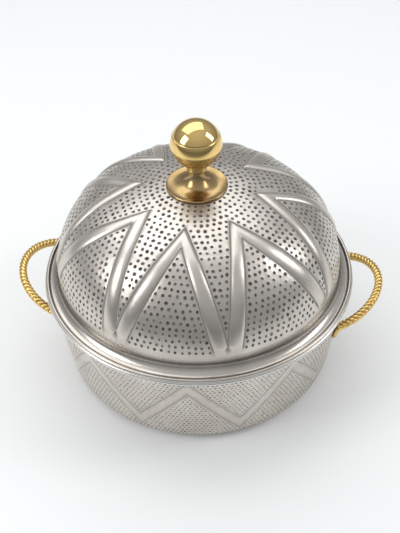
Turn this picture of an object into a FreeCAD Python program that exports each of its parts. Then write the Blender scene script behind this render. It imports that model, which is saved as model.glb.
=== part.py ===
# Round insulated casserole for flat breads: a double-walled bowl with two rope handles
# and a double-walled domed lid with a ball knob. Millimetres, +Z up, origin at the
# centre of the base, handles along X.
import FreeCAD, Part
import Sketcher
import math
import os
import re

doc = FreeCAD.newDocument("Casserole")

# Driving dimensions
SIZES = {
    # Bowl
    "rim_height": 85.0,
    "rim_bead_overhang": 3.18,
    "rim_bead_depth": 3.1,
    "rim_bead_round": 1.5,
    "wall_base_radius": 110.6,
    "wall_slope": 7.52,
    "shell_sheet": 0.9,
    "base_corner": 13.6,
    "foot_ring_width": 13.18,
    "base_recess_depth": 1.5,
    "rim_wall_gap": 16.82,
    "pan_floor": 13.0,
    "pan_corner": 14.0,
    "pan_sheet": 0.8,
    "pan_slope": 1.5,
    "pan_mouth_round": 2.0,
    "foam_gap": 0.2,
    "curl_gap": 0.05,
    "fill_hole_radius": 7.0,
    "plug_flange_width": 2.0,
    "plug_flange": 1.2,
    "plug_gap": 0.05,
    # Lid
    "lid_edge_inset": 0.8,
    "lid_bead_width": 3.0,
    "lid_bead_round": 0.6,
    "lid_flat_width": 0.54,
    "lid_wall_height": 2.45,
    "lid_dome_rise": 74.55,
    "lid_crown_camber": 8.55,
    "lid_sheet": 0.8,
    "cove_radius": 7.2,
    "flange_sheet": 1.0,
    "hem_width": 5.62,
    "hem_sheet": 0.8,
    "cover_sheet": 0.7,
    "cover_flange_inset": 1.82,
    "cover_fit": 1.1,
    "cover_skirt_depth": 6.0,
    "cover_lip": 3.0,
    "cover_wall_height": 2.0,
    "cover_crown_camber": 4.0,
    "lid_filling_depth": 20.2,
    # Knob
    "knob_foot_radius": 23.5,
    "knob_foot_edge": 1.8,
    "knob_foot_height": 14.6,
    "knob_neck_radius": 5.6,
    "collar_radius": 8.3,
    "collar_height": 2.4,
    "cup_neck_radius": 7.6,
    "cup_neck_height": 3.6,
    "ball_rise": 16.57,
    "ball_radius": 19.3,
    "ball_split_drop": 4.6,
    "cup_step": 0.7,
    "stud_radius": 2.5,
    "stud_hole_gap": 0.15,
    "stud_depth": 12.0,
    "stud_above_split": 4.0,
    "washer_radius": 7.5,
    "washer_sheet": 1.2,
    "nut_across_flats": 8.0,
    "nut_height": 4.0,
    "thread_gap": 0.02,
    "nut_pocket_gap": 1.5,
    # Handles
    "rod_radius": 3.2,
    "handle_height": 65.5,
    "handle_reach": 34.8,
    "handle_half_width": 40.2,
    "handle_corner": 12.0,
    "handle_tilt": 24.0,
    "foot_stand": 2.295,
    "foot_radius": 3.6,
    "foot_length": 14.0,
    "screw_radius": 1.5,
    "screw_depth": 3.6,
    "screw_drop": 8.0,
    "screw_head_radius": 2.9,
    "screw_head": 1.8,
    "screw_hole_gap": 0.1,
    "screw_seat_gap": 0.06,
    "backing_radius": 5.0,
    "backing_sheet": 1.2,
    "fastener_pocket_gap": 1.0,
    "cut_over": 1.0,
}

sheet = doc.addObject("Spreadsheet::Sheet", "Sizes")
for row, (alias, size) in enumerate(SIZES.items(), start=1):
    sheet.set(f"A{row}", alias)
    sheet.set(f"B{row}", str(size))
    sheet.setAlias(f"B{row}", alias)
doc.recompute()

ALIAS = re.compile(r"\b(" + "|".join(sorted(SIZES, key=len, reverse=True)) + r")\b")


def bound(text):
    """Expression text with each size name pointing at its sheet cell."""
    return ALIAS.sub(lambda match: "Sizes." + match.group(1), text)


def number(text):
    """Present value of an expression in the size names; angles are in degrees."""
    return float(sheet.evalExpression(text))


def plane(body, role):
    """Origin plane of a body, by its role."""
    return [item for item in body.Origin.OriginFeatures if item.Role == role][0]


def point_constraint(sketch, geometry, position, across, up):
    """Hold one end of an edge at the two bound distances from the sketch's origin."""
    for kind, axis, text in (("DistanceX", -2, across), ("DistanceY", -1, up)):
        if text == "0":
            sketch.addConstraint(Sketcher.Constraint("PointOnObject", geometry, position, axis))
            continue
        index = sketch.addConstraint(
            Sketcher.Constraint(kind, -1, 1, geometry, position, number(text)))
        sketch.setExpression(f"Constraints[{index}]", bound(text))


def draw(sketch, corners, closed=True):
    """Draw a chain of straight and round edges through bound corners.

    A corner is (across, up) or (across, up, radius, turn): the last two describe the arc
    that arrives there, turning left (1) or right (-1).
    """
    count = len(corners)
    ends = []
    first = 0 if closed else 1
    for place in range(first, count):
        start = corners[place - 1]
        corner = corners[place]
        begin = FreeCAD.Vector(number(start[0]), number(start[1]), 0)
        finish = FreeCAD.Vector(number(corner[0]), number(corner[1]), 0)
        if len(corner) == 2:
            index = sketch.addGeometry(Part.LineSegment(begin, finish), False)
            ends.append((index, 1, 2))
            continue
        radius = number(corner[2])
        turn = corner[3]
        chord = finish - begin
        rise = math.sqrt(max(radius ** 2 - chord.Length ** 2 / 4, 0.0))
        left = FreeCAD.Vector(-chord.y, chord.x, 0).normalize()
        centre = (begin + finish) * 0.5 + left * rise * turn
        low, high = (begin, finish) if turn > 0 else (finish, begin)
        arc = Part.ArcOfCircle(
            Part.Circle(centre, FreeCAD.Vector(0, 0, 1), radius),
            math.atan2(low.y - centre.y, low.x - centre.x),
            math.atan2(high.y - centre.y, high.x - centre.x))
        index = sketch.addGeometry(arc, False)
        ends.append((index, 1, 2) if turn > 0 else (index, 2, 1))
        limit = sketch.addConstraint(Sketcher.Constraint("Radius", index, radius))
        sketch.setExpression(f"Constraints[{limit}]", bound(corner[2]))
    for place, (index, begin, finish) in enumerate(ends):
        corner = corners[(place + first) % count]
        point_constraint(sketch, index, finish, corner[0], corner[1])
        if place + 1 < len(ends) or closed:
            following = ends[(place + 1) % len(ends)]
            sketch.addConstraint(
                Sketcher.Constraint("Coincident", index, finish, following[0], following[1]))
    if not closed:
        point_constraint(sketch, ends[0][0], ends[0][1], corners[0][0], corners[0][1])


def sketch_on(body, role, name):
    """New sketch on one of the body's own origin planes."""
    sketch = body.newObject("Sketcher::SketchObject", name)
    sketch.AttachmentSupport = [(plane(body, role), "")]
    sketch.MapMode = "FlatFace"
    return sketch


def turned(label, corners):
    """Body made by turning a closed profile of (radius, height) corners about Z."""
    body = doc.addObject("PartDesign::Body", label)
    body.Label = label
    sketch = sketch_on(body, "XZ_Plane", label + "_profile")
    draw(sketch, corners)
    doc.recompute()
    feature = body.newObject("PartDesign::Revolution", label + "_turn")
    feature.Profile = sketch
    feature.ReferenceAxis = (sketch, ["V_Axis"])
    feature.Angle = 360.0
    doc.recompute()
    return body


def place(thing, text):
    """Bind a Placement to an expression."""
    thing.setExpression("Placement", bound(text))


def placed(position=("0", "0", "0"), turn=("0", "0", "0")):
    """Placement expression from a position, and from yaw, pitch and roll in degrees."""
    return (
        f"create(<<placement>>; create(<<vector>>; {position[0]}; {position[1]}; {position[2]}); "
        f"create(<<rotation>>; {turn[0]}; {turn[1]}; {turn[2]}))")


def rod(label, radius, length, placement):
    """Round bar along the placement's own Z."""
    bar = doc.addObject("Part::Cylinder", label)
    bar.setExpression("Radius", bound(radius))
    bar.setExpression("Height", bound(length))
    place(bar, placement)
    return bar


def cut(label, base, tool):
    """Base with the tool taken away."""
    result = doc.addObject("Part::Cut", label)
    result.Base = base
    result.Tool = tool
    result.Label = label
    return result


def fused(label, shapes):
    """Several shapes grown into one."""
    result = doc.addObject("Part::MultiFuse", label)
    result.Shapes = shapes
    result.Label = label
    return result


nodes = {}

# Bowl wall: a cone that flares from the base, rounded into the flat foot
WALL_TANGENT = "(base_corner / tan((90 + wall_slope) / 2))"
CORNER_R = f"(wall_base_radius - {WALL_TANGENT})"
WALL_START_R = f"({CORNER_R} + base_corner * cos(wall_slope))"
WALL_START_Z = "(base_corner - base_corner * sin(wall_slope))"
INNER_CORNER = "(base_corner - shell_sheet)"
INNER_START_R = f"({CORNER_R} + {INNER_CORNER} * cos(wall_slope))"
INNER_START_Z = f"(base_corner - {INNER_CORNER} * sin(wall_slope))"
SHELL_TOP = "(rim_height - pan_sheet)"
RECESS_EDGE = f"({CORNER_R} - foot_ring_width)"
RECESS_R = f"({RECESS_EDGE} - base_recess_depth)"


def wall_radius(height, inward="0"):
    """Radius of the bowl wall's outer face at a height, or of a face inside it."""
    return f"(wall_base_radius + ({height}) * tan(wall_slope) - ({inward}) / cos(wall_slope))"


outer_shell = turned("bowl_shell_pressing", [
    ("fill_hole_radius", "base_recess_depth"),
    (RECESS_R, "base_recess_depth"),
    (RECESS_EDGE, "0"),
    (CORNER_R, "0"),
    (WALL_START_R, WALL_START_Z, "base_corner", 1),
    (wall_radius(SHELL_TOP), SHELL_TOP),
    (wall_radius(SHELL_TOP, "shell_sheet"), SHELL_TOP),
    (INNER_START_R, INNER_START_Z),
    (CORNER_R, "shell_sheet", INNER_CORNER, -1),
    (RECESS_EDGE, "shell_sheet"),
    (RECESS_R, "base_recess_depth + shell_sheet"),
    ("fill_hole_radius", "base_recess_depth + shell_sheet"),
])

# Inner pan: holds the bread; its flange covers both walls and curls down round the edge
RIM_R = f"({wall_radius('rim_height')} + rim_bead_overhang)"
PAN_R = f"({wall_radius('rim_height')} - rim_wall_gap)"
PAN_IN = f"({PAN_R} - (rim_height - pan_floor) * tan(pan_slope))"
PAN_TANGENT = "(pan_corner / tan((90 + pan_slope) / 2))"
PAN_CORNER_R = f"({PAN_IN} - {PAN_TANGENT})"
PAN_START_R = f"({PAN_CORNER_R} + pan_corner * cos(pan_slope))"
PAN_START_Z = "(pan_floor + pan_corner - pan_corner * sin(pan_slope))"
PAN_OUTER_CORNER = "(pan_corner + pan_sheet)"
PAN_OUTER_R = f"({PAN_CORNER_R} + {PAN_OUTER_CORNER} * cos(pan_slope))"
PAN_OUTER_Z = f"(pan_floor + pan_corner - {PAN_OUTER_CORNER} * sin(pan_slope))"
MOUTH_DROP = "(pan_mouth_round * (1 - sin(pan_slope)))"


def pan_radius_at(height, outward="0"):
    """Radius of the pan's inner face at a height, or of a face outside it."""
    slant = f"(rim_height - ({height})) * tan(pan_slope)"
    return f"({PAN_R} - {slant} + ({outward}) / cos(pan_slope))"


MOUTH_Z = f"(rim_height - {MOUTH_DROP})"
MOUTH_R = pan_radius_at(MOUTH_Z)
FLANGE_START = f"({MOUTH_R} + pan_mouth_round * cos(pan_slope))"
FLANGE_UNDER = "(rim_height - pan_sheet)"
CURL_IN = f"({wall_radius(FLANGE_UNDER)} + curl_gap)"
BEAD_OUT = f"({RIM_R} - rim_bead_round)"
BEAD_LOW = "(rim_height - rim_bead_depth)"

nodes["bowl_inner_pan"] = turned("bowl_inner_pan", [
    ("0", "pan_floor - pan_sheet"),
    (PAN_CORNER_R, "pan_floor - pan_sheet"),
    (PAN_OUTER_R, PAN_OUTER_Z, PAN_OUTER_CORNER, 1),
    (pan_radius_at(FLANGE_UNDER, "pan_sheet"), FLANGE_UNDER),
    (CURL_IN, FLANGE_UNDER),
    (CURL_IN, BEAD_LOW),
    (BEAD_OUT, BEAD_LOW),
    (RIM_R, f"{BEAD_LOW} + rim_bead_round", "rim_bead_round", 1),
    (RIM_R, "rim_height - rim_bead_round"),
    (BEAD_OUT, "rim_height", "rim_bead_round", 1),
    (FLANGE_START, "rim_height"),
    (MOUTH_R, MOUTH_Z, "pan_mouth_round", 1),
    (PAN_START_R, PAN_START_Z),
    (PAN_CORNER_R, "pan_floor", "pan_corner", -1),
    ("0", "pan_floor"),
])

# Handles: a bent rod whose two feet lie down the wall, each held by a screw from inside
HANDLE_CHORD = f"sqrt(({wall_radius('handle_height')} + foot_stand) ^ 2 - handle_half_width ^ 2)"
FOOT_TURN = f"atan2(handle_half_width; {HANDLE_CHORD})"
TOP_RADIUS = (
    "((handle_half_width ^ 2 - 2 * handle_half_width * handle_corner + handle_reach ^ 2)"
    " / (2 * (handle_reach - handle_corner)))")
CORNER_SHARE = f"(handle_corner / ({TOP_RADIUS} - handle_corner))"
BEND_OUT = f"({CORNER_SHARE} * ({TOP_RADIUS} - handle_reach))"
BEND_ACROSS = f"((handle_half_width - handle_corner) * (1 + {CORNER_SHARE}))"
SCREW_Z = "(handle_height - screw_drop)"
BACKING_IN = "(shell_sheet + backing_sheet)"
HEAD_OUT = f"({BACKING_IN} + screw_seat_gap)"
HEAD_TOP = f"({HEAD_OUT} + screw_head)"


def on_wall(side, offset):
    """Placement square to the wall at a handle's foot, moved outward by an offset."""
    radius = wall_radius(SCREW_Z)
    yaw = f"({FOOT_TURN}) * {side}"
    spot = (f"{radius} * cos({yaw})", f"{radius} * sin({yaw})", SCREW_Z)
    return placed(spot, (yaw, "90 + wall_slope", "0")) + " * " + placed(("0", "0", offset))


def cone(label, inward):
    """Solid cone that fills the bowl wall up to a face inside its outer one."""
    solid = doc.addObject("Part::Cone", label)
    solid.setExpression("Radius1", bound(wall_radius("0", inward)))
    solid.setExpression("Radius2", bound(wall_radius("rim_height", inward)))
    solid.setExpression("Height", bound("rim_height"))
    return solid


def rod_loop(name):
    """Rod swept round the handle's loop and tilted up from the wall."""
    loop = doc.addObject("PartDesign::Body", name + "_loop")
    path = sketch_on(loop, "XY_Plane", name + "_path")
    draw(path, [
        ("0", "handle_half_width"),
        (BEND_OUT, BEND_ACROSS, "handle_corner", -1),
        ("handle_reach", "0", TOP_RADIUS, -1),
        (BEND_OUT, f"0 - {BEND_ACROSS}", TOP_RADIUS, -1),
        ("0", "0 - handle_half_width", "handle_corner", -1),
    ], closed=False)
    section = sketch_on(loop, "YZ_Plane", name + "_section")
    circle = section.addGeometry(
        Part.Circle(FreeCAD.Vector(number("handle_half_width"), 0, 0),
                    FreeCAD.Vector(0, 0, 1), number("rod_radius")), False)
    size = section.addConstraint(Sketcher.Constraint("Radius", circle, number("rod_radius")))
    section.setExpression(f"Constraints[{size}]", bound("rod_radius"))
    point_constraint(section, circle, 3, "handle_half_width", "0")
    doc.recompute()
    pipe = loop.newObject("PartDesign::AdditivePipe", name + "_pipe")
    pipe.Profile = section
    pipe.Spine = (path, ["Edge1", "Edge2", "Edge3", "Edge4"])
    place(loop, placed((HANDLE_CHORD, "0", "handle_height"), ("0", "0 - handle_tilt", "0")))
    return loop


def foot(stem, side):
    """Rounded bar down the wall from one end of the loop."""
    yaw = f"({FOOT_TURN}) * {side}"
    top = placed((HANDLE_CHORD, f"handle_half_width * {side}", "handle_height"),
                 (yaw, "180 + wall_slope", "0"))
    pieces = [rod(stem + "_foot", "foot_radius", "foot_length", top)]
    for part, lift in (("_heel", "0"), ("_toe", "foot_length")):
        ball = doc.addObject("Part::Sphere", stem + part)
        ball.setExpression("Radius", bound("foot_radius"))
        place(ball, top + " * " + placed(("0", "0", lift)))
        pieces.append(ball)
    return pieces


def wall_screw(stem, side):
    """Screw through the wall, with its head on the backing plate."""
    shank = rod(stem + "_shank", "screw_radius", f"{HEAD_OUT} + screw_depth",
                on_wall(side, f"0 - {HEAD_OUT}"))
    head = rod(stem + "_head", "screw_head_radius", "screw_head",
               on_wall(side, f"0 - {HEAD_TOP}"))
    return fused(stem + "_screw", [shank, head])


def backing_plate(stem, side, bore):
    """Round plate that follows the wall's inner face under the screw's head."""
    blank = rod(stem + "_blank", "backing_radius", f"{BACKING_IN} + cut_over",
                on_wall(side, f"0 - {BACKING_IN} - cut_over"))
    ring = cut(stem + "_ring", cone(stem + "_ring_out", "shell_sheet"),
               cone(stem + "_ring_in", BACKING_IN))
    plate = doc.addObject("Part::Common", stem + "_plate")
    plate.Base = blank
    plate.Tool = ring
    return cut(stem + "_backing", plate, bore)


def handle_set(name, turn, holes, pockets):
    """One handle with its screws and backing plates, and the cutting tools they need."""
    solid_pieces = [rod_loop(name)]
    tapped_holes = []
    screws = []
    backings = []
    for end, side in (("front", -1), ("back", 1)):
        stem = f"{name}_{end}"
        solid_pieces += foot(stem, side)
        hole = rod(stem + "_hole", "screw_radius + screw_hole_gap", f"{BACKING_IN} + 2 * cut_over",
                   on_wall(side, f"0 - {BACKING_IN} - cut_over"))
        tapped_holes.append(rod(
            stem + "_tapped", "screw_radius + thread_gap", "screw_depth + thread_gap + cut_over",
            on_wall(side, "0 - cut_over")))
        pockets.append((rod(
            stem + "_pocket", "backing_radius + fastener_pocket_gap",
            f"{HEAD_TOP} + fastener_pocket_gap",
            on_wall(side, f"0 - {HEAD_TOP} - fastener_pocket_gap")), turn))
        holes.append((hole, turn))
        screws.append(wall_screw(stem, side))
        backings.append(backing_plate(stem, side, hole))
    blank = fused(name + "_handle_blank", solid_pieces)
    trimmed = cut(name + "_handle_trimmed", blank, cone(name + "_wall", "0"))
    handle = cut(name + "_handle", trimmed, fused(name + "_tapped_holes", tapped_holes))
    place(handle, placed(turn=(turn, "0", "0")))
    nodes[name + "_handle"] = handle
    for group, members in (("_handle_screws", screws), ("_handle_backings", backings)):
        pair = doc.addObject("Part::Compound", name + group)
        pair.Links = members
        pair.Label = name + group
        place(pair, placed(turn=(turn, "0", "0")))
        nodes[name + group] = pair


def both_sides(label, tools):
    """One cutting tool made of pieces that are each carried to their own handle."""
    carried = []
    for tool, turn in tools:
        holder = doc.addObject("Part::Compound", tool.Name + "_carried")
        holder.Links = [tool]
        place(holder, placed(turn=(turn, "0", "0")))
        carried.append(holder)
    return fused(label, carried)


wall_holes = []
foam_pockets = []
handle_set("right", "0", wall_holes, foam_pockets)
handle_set("left", "180", wall_holes, foam_pockets)

nodes["bowl_outer_shell"] = cut("bowl_outer_shell", outer_shell, both_sides("wall_holes", wall_holes))

# Insulation between the two bowl walls, with pockets for the handle fasteners
FOAM_SHELL = "(shell_sheet + foam_gap)"
FOAM_PAN = "(pan_sheet + foam_gap)"
FOAM_CORNER = f"(base_corner - {FOAM_SHELL})"
FOAM_FLOOR = f"(base_recess_depth + {FOAM_SHELL})"
FOAM_TOP = "(rim_height - pan_sheet - foam_gap)"
PAN_FOAM_CORNER = f"(pan_corner + {FOAM_PAN})"
PLUG_R = "(fill_hole_radius + plug_flange_width)"
foam = turned("bowl_foam_block", [
    (f"{PLUG_R} + foam_gap", FOAM_FLOOR),
    (RECESS_R, FOAM_FLOOR),
    (RECESS_EDGE, FOAM_SHELL),
    (CORNER_R, FOAM_SHELL),
    (f"{CORNER_R} + {FOAM_CORNER} * cos(wall_slope)",
     f"base_corner - {FOAM_CORNER} * sin(wall_slope)", FOAM_CORNER, 1),
    (wall_radius(FOAM_TOP, FOAM_SHELL), FOAM_TOP),
    (pan_radius_at(FOAM_TOP, FOAM_PAN), FOAM_TOP),
    (f"{PAN_CORNER_R} + {PAN_FOAM_CORNER} * cos(pan_slope)",
     f"pan_floor + pan_corner - {PAN_FOAM_CORNER} * sin(pan_slope)"),
    (PAN_CORNER_R, f"pan_floor - {FOAM_PAN}", PAN_FOAM_CORNER, -1),
    (f"{PLUG_R} + foam_gap", f"pan_floor - {FOAM_PAN}"),
])
nodes["bowl_insulation"] = cut("bowl_insulation", foam, both_sides("foam_pockets", foam_pockets))

# Plug that closes the hole through which the foam was poured
nodes["bowl_fill_plug"] = turned("bowl_fill_plug", [
    ("0", "base_recess_depth"),
    ("fill_hole_radius - plug_gap", "base_recess_depth"),
    ("fill_hole_radius - plug_gap", "base_recess_depth + shell_sheet"),
    (PLUG_R, "base_recess_depth + shell_sheet"),
    (PLUG_R, "base_recess_depth + shell_sheet + plug_flange"),
    ("0", "base_recess_depth + shell_sheet + plug_flange"),
])


class Dome:
    """Crown arc and shoulder arc that meet smoothly, springing from a vertical wall."""

    def __init__(self, radius, spring, rise, camber):
        """Work out the arcs.

        The camber is how far the crown rises over the centre of the shoulder's top.
        """
        self.spring = spring
        self.shoulder = f"({rise} - {camber})"
        self.offset = f"({radius} - {self.shoulder})"
        squares = f"({self.offset} ^ 2 + {rise} ^ 2 - {self.shoulder} ^ 2)"
        self.crown = f"({squares} / (2 * {camber}))"
        self.centre = f"({spring} + {rise} - {self.crown})"
        self.share = f"({self.crown} - {self.shoulder})"

    def joint(self, inward):
        """Point where the two arcs meet, on a face inside the outer one."""
        radius = f"(({self.crown}) - ({inward}))"
        return (f"({self.offset} * {radius} / {self.share})",
                f"({self.centre} + ({self.spring} - {self.centre}) * {radius} / {self.share})")

    def crown_height(self, radius, inward):
        """Height of the crown over a radius."""
        return f"({self.centre} + sqrt((({self.crown}) - ({inward})) ^ 2 - ({radius}) ^ 2))"

    def crown_radius(self, inward):
        """Radius of the crown arc on a face inside the outer one."""
        return f"(({self.crown}) - ({inward}))"

    def shoulder_radius(self, inward):
        """Radius of the shoulder arc on a face inside the outer one."""
        return f"(({self.shoulder}) - ({inward}))"


# Lid: outer dome with a flat seat for the knob, a cove, and a raised bead at its edge
LID_BEAD_R = f"({RIM_R} - lid_edge_inset)"
CREASE_R = f"({LID_BEAD_R} - lid_bead_width)"
COVE_END = f"({CREASE_R} - lid_flat_width)"
LID_R = f"({COVE_END} - cove_radius)"
FLANGE_Z = "(rim_height + flange_sheet)"
COVE_TOP = f"({FLANGE_Z} + cove_radius)"
LID_SPRING = f"({COVE_TOP} + lid_wall_height)"
dome = Dome(LID_R, LID_SPRING, "lid_dome_rise", "lid_crown_camber")
SEAT_Z = dome.crown_height("knob_foot_radius", "0")
STUD_HOLE = "(stud_radius + stud_hole_gap)"
HEM_TOP = "(rim_height + hem_sheet)"
COVE_IN = "(cove_radius + lid_sheet)"
HEM_MEET = f"({COVE_END} - sqrt({COVE_IN} ^ 2 - ({COVE_TOP} - {HEM_TOP}) ^ 2))"
HEM_R = f"({HEM_MEET} - hem_width)"
BEAD_HALF = "(lid_bead_width / 2)"
SEAT_RISE = f"({SEAT_Z} - lid_sheet - {dome.centre})"
UNDER_SEAT_R = f"(sqrt({dome.crown_radius('lid_sheet')} ^ 2 - {SEAT_RISE} ^ 2))"

nodes["lid_outer_dome"] = turned("lid_outer_dome", [
    (STUD_HOLE, f"{SEAT_Z} - lid_sheet"),
    (UNDER_SEAT_R, f"{SEAT_Z} - lid_sheet"),
    dome.joint("lid_sheet") + (dome.crown_radius("lid_sheet"), -1),
    (f"{LID_R} - lid_sheet", LID_SPRING, dome.shoulder_radius("lid_sheet"), -1),
    (f"{LID_R} - lid_sheet", COVE_TOP),
    (HEM_MEET, HEM_TOP, COVE_IN, 1),
    (HEM_R, HEM_TOP),
    (HEM_R, "rim_height"),
    (f"{LID_BEAD_R} - lid_bead_round", "rim_height"),
    (LID_BEAD_R, "rim_height + lid_bead_round", "lid_bead_round", 1),
    (LID_BEAD_R, FLANGE_Z),
    (f"{LID_BEAD_R} - {BEAD_HALF}", f"{FLANGE_Z} + {BEAD_HALF}", BEAD_HALF, 1),
    (CREASE_R, FLANGE_Z, BEAD_HALF, 1),
    (COVE_END, FLANGE_Z),
    (LID_R, COVE_TOP, "cove_radius", -1),
    (LID_R, LID_SPRING),
    dome.joint("0") + (dome.shoulder_radius("0"), 1),
    ("knob_foot_radius", SEAT_Z, dome.crown_radius("0"), 1),
    (STUD_HOLE, SEAT_Z),
])

# Inner cover: its skirt drops into the bowl and keeps the lid central
SKIRT_R = f"({PAN_R} - cover_fit)"
SKIRT_LOW = "(rim_height - cover_skirt_depth)"
LIP_Z = f"({SKIRT_LOW} + cover_lip)"
COVER_R = f"({SKIRT_R} - 2 * cover_lip)"
COVER_FLANGE_TOP = f"({HEM_TOP} + cover_sheet)"
COVER_FLANGE_R = f"({HEM_MEET} - cover_flange_inset)"
COVER_SPRING = f"({LIP_Z} + cover_wall_height)"
COVER_TOP = f"({LID_SPRING} + lid_dome_rise - lid_filling_depth)"
cover = Dome(COVER_R, COVER_SPRING, f"({COVER_TOP} - {COVER_SPRING})", "cover_crown_camber")

nodes["lid_inner_cover"] = turned("lid_inner_cover", [
    ("0", COVER_TOP),
    cover.joint("0") + (cover.crown_radius("0"), -1),
    (COVER_R, COVER_SPRING, cover.shoulder_radius("0"), -1),
    (COVER_R, LIP_Z),
    (f"{SKIRT_R} - cover_lip", SKIRT_LOW, "cover_lip", 1),
    (SKIRT_R, LIP_Z, "cover_lip", 1),
    (SKIRT_R, HEM_TOP),
    (COVER_FLANGE_R, HEM_TOP),
    (COVER_FLANGE_R, COVER_FLANGE_TOP),
    (f"{SKIRT_R} - cover_sheet", COVER_FLANGE_TOP),
    (f"{SKIRT_R} - cover_sheet", LIP_Z),
    (f"{SKIRT_R} - cover_lip", f"{SKIRT_LOW} + cover_sheet", "cover_lip - cover_sheet", -1),
    (f"{COVER_R} + cover_sheet", LIP_Z, "cover_lip - cover_sheet", -1),
    (f"{COVER_R} + cover_sheet", COVER_SPRING),
    cover.joint("0 - cover_sheet") + (cover.shoulder_radius("0 - cover_sheet"), 1),
    ("0", f"{COVER_TOP} + cover_sheet", cover.crown_radius("0 - cover_sheet"), 1),
])

# Insulation inside the lid, bored for the knob's nut
LID_FOAM = "(lid_sheet + foam_gap)"
COVER_FOAM = "(0 - cover_sheet - foam_gap)"
LID_FOAM_LOW = f"({COVER_FLANGE_TOP} + foam_gap)"
LID_FOAM_TOP = dome.crown_height("knob_foot_radius", LID_FOAM)
NUT_POCKET_R = "(washer_radius + nut_pocket_gap)"
nodes["lid_insulation"] = turned("lid_insulation", [
    (NUT_POCKET_R, cover.crown_height(NUT_POCKET_R, COVER_FOAM)),
    cover.joint(COVER_FOAM) + (cover.crown_radius(COVER_FOAM), -1),
    (f"{COVER_R} - {COVER_FOAM}", COVER_SPRING, cover.shoulder_radius(COVER_FOAM), -1),
    (f"{COVER_R} - {COVER_FOAM}", f"{COVER_SPRING} - foam_gap"),
    (f"{SKIRT_R} - cover_sheet - foam_gap", f"{COVER_SPRING} - foam_gap"),
    (f"{SKIRT_R} - cover_sheet - foam_gap", LID_FOAM_LOW),
    (f"{LID_R} - {LID_FOAM}", LID_FOAM_LOW),
    (f"{LID_R} - {LID_FOAM}", LID_SPRING),
    dome.joint(LID_FOAM) + (dome.shoulder_radius(LID_FOAM), 1),
    ("knob_foot_radius", LID_FOAM_TOP, dome.crown_radius(LID_FOAM), 1),
    (NUT_POCKET_R, LID_FOAM_TOP),
])

# Knob: trumpet foot, collar, cup and cap on one stud
FOOT_TOP = f"({SEAT_Z} + knob_foot_height)"
FOOT_EDGE = f"({SEAT_Z} + knob_foot_edge)"
COLLAR_TOP = f"({FOOT_TOP} + collar_height)"
CUP_NECK_TOP = f"({COLLAR_TOP} + cup_neck_height)"
BALL_Z = f"({CUP_NECK_TOP} + ball_rise)"
SPLIT_Z = f"({BALL_Z} - ball_split_drop)"
SPLIT_R = "(sqrt(ball_radius ^ 2 - ball_split_drop ^ 2))"
CUP_SPLIT_R = f"({SPLIT_R} - cup_step)"
STUD_TOP = f"({SPLIT_Z} + stud_above_split)"
STUD_FIT = "(stud_radius + thread_gap)"
FLARE_REACH = "(knob_foot_radius - knob_neck_radius)"
FLARE = f"((({FOOT_TOP} - {FOOT_EDGE}) ^ 2 + {FLARE_REACH} ^ 2) / (2 * {FLARE_REACH}))"

nodes["knob_foot"] = turned("knob_foot", [
    (STUD_FIT, SEAT_Z),
    ("knob_foot_radius", SEAT_Z),
    ("knob_foot_radius", FOOT_EDGE),
    ("knob_neck_radius", FOOT_TOP, FLARE, -1),
    (STUD_FIT, FOOT_TOP),
])
nodes["knob_collar"] = turned("knob_collar", [
    (STUD_FIT, FOOT_TOP),
    ("collar_radius - collar_height / 2", FOOT_TOP),
    ("collar_radius", f"{FOOT_TOP} + collar_height / 2", "collar_height / 2", 1),
    ("collar_radius - collar_height / 2", COLLAR_TOP, "collar_height / 2", 1),
    (STUD_FIT, COLLAR_TOP),
])
nodes["knob_cup"] = turned("knob_cup", [
    (STUD_FIT, COLLAR_TOP),
    ("cup_neck_radius", COLLAR_TOP),
    ("cup_neck_radius", CUP_NECK_TOP),
    (CUP_SPLIT_R, SPLIT_Z, "ball_radius", 1),
    (STUD_FIT, SPLIT_Z),
])
nodes["knob_cap"] = turned("knob_cap", [
    (STUD_FIT, SPLIT_Z),
    (SPLIT_R, SPLIT_Z),
    ("ball_radius", BALL_Z, "ball_radius", 1),
    ("0", f"{BALL_Z} + ball_radius", "ball_radius", 1),
    ("0", STUD_TOP),
    (STUD_FIT, STUD_TOP),
])
STUD_LOW = f"({SEAT_Z} - stud_depth)"
nodes["knob_stud"] = turned("knob_stud", [
    ("0", STUD_LOW),
    ("stud_radius", STUD_LOW),
    ("stud_radius", f"{STUD_TOP} - thread_gap"),
    ("0", f"{STUD_TOP} - thread_gap"),
])
WASHER_TOP = f"({SEAT_Z} - lid_sheet)"
NUT_TOP = f"({WASHER_TOP} - washer_sheet)"
nodes["knob_washer"] = turned("knob_washer", [
    (STUD_HOLE, NUT_TOP),
    ("washer_radius", NUT_TOP),
    ("washer_radius", WASHER_TOP),
    (STUD_HOLE, WASHER_TOP),
])

# Hexagon nut under the washer
hexagon = doc.addObject("Part::Prism", "nut_hexagon")
hexagon.Polygon = 6
hexagon.setExpression("Circumradius", bound("nut_across_flats / 2 / cos(30)"))
hexagon.setExpression("Height", bound("nut_height"))
NUT_PLACE = placed(("0", "0", f"{NUT_TOP} - nut_height"))
place(hexagon, NUT_PLACE)
nodes["knob_nut"] = cut("knob_nut", hexagon, rod("nut_bore", STUD_FIT, "nut_height", NUT_PLACE))

doc.recompute()

for item in doc.Objects:
    if "Invalid" in item.State or "Error" in item.State:
        raise RuntimeError(f"{item.Label} did not build: {item.State}")
for name, item in nodes.items():
    if item.Shape.isNull() or not item.Shape.isValid():
        raise RuntimeError(f"{name} has no valid shape")

os.makedirs("parts", exist_ok=True)
for name, item in nodes.items():
    item.Shape.exportStep(f"parts/{name}.step")
    print(name, len(item.Shape.Solids), round(item.Shape.Volume, 1))
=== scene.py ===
"""Insulated casserole for flat breads: hammered steel bowl and lid, brass knob and rope handles."""
import logging
import math
import random
from dataclasses import dataclass
from enum import Enum
from typing import Callable, Iterable, Sequence

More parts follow.
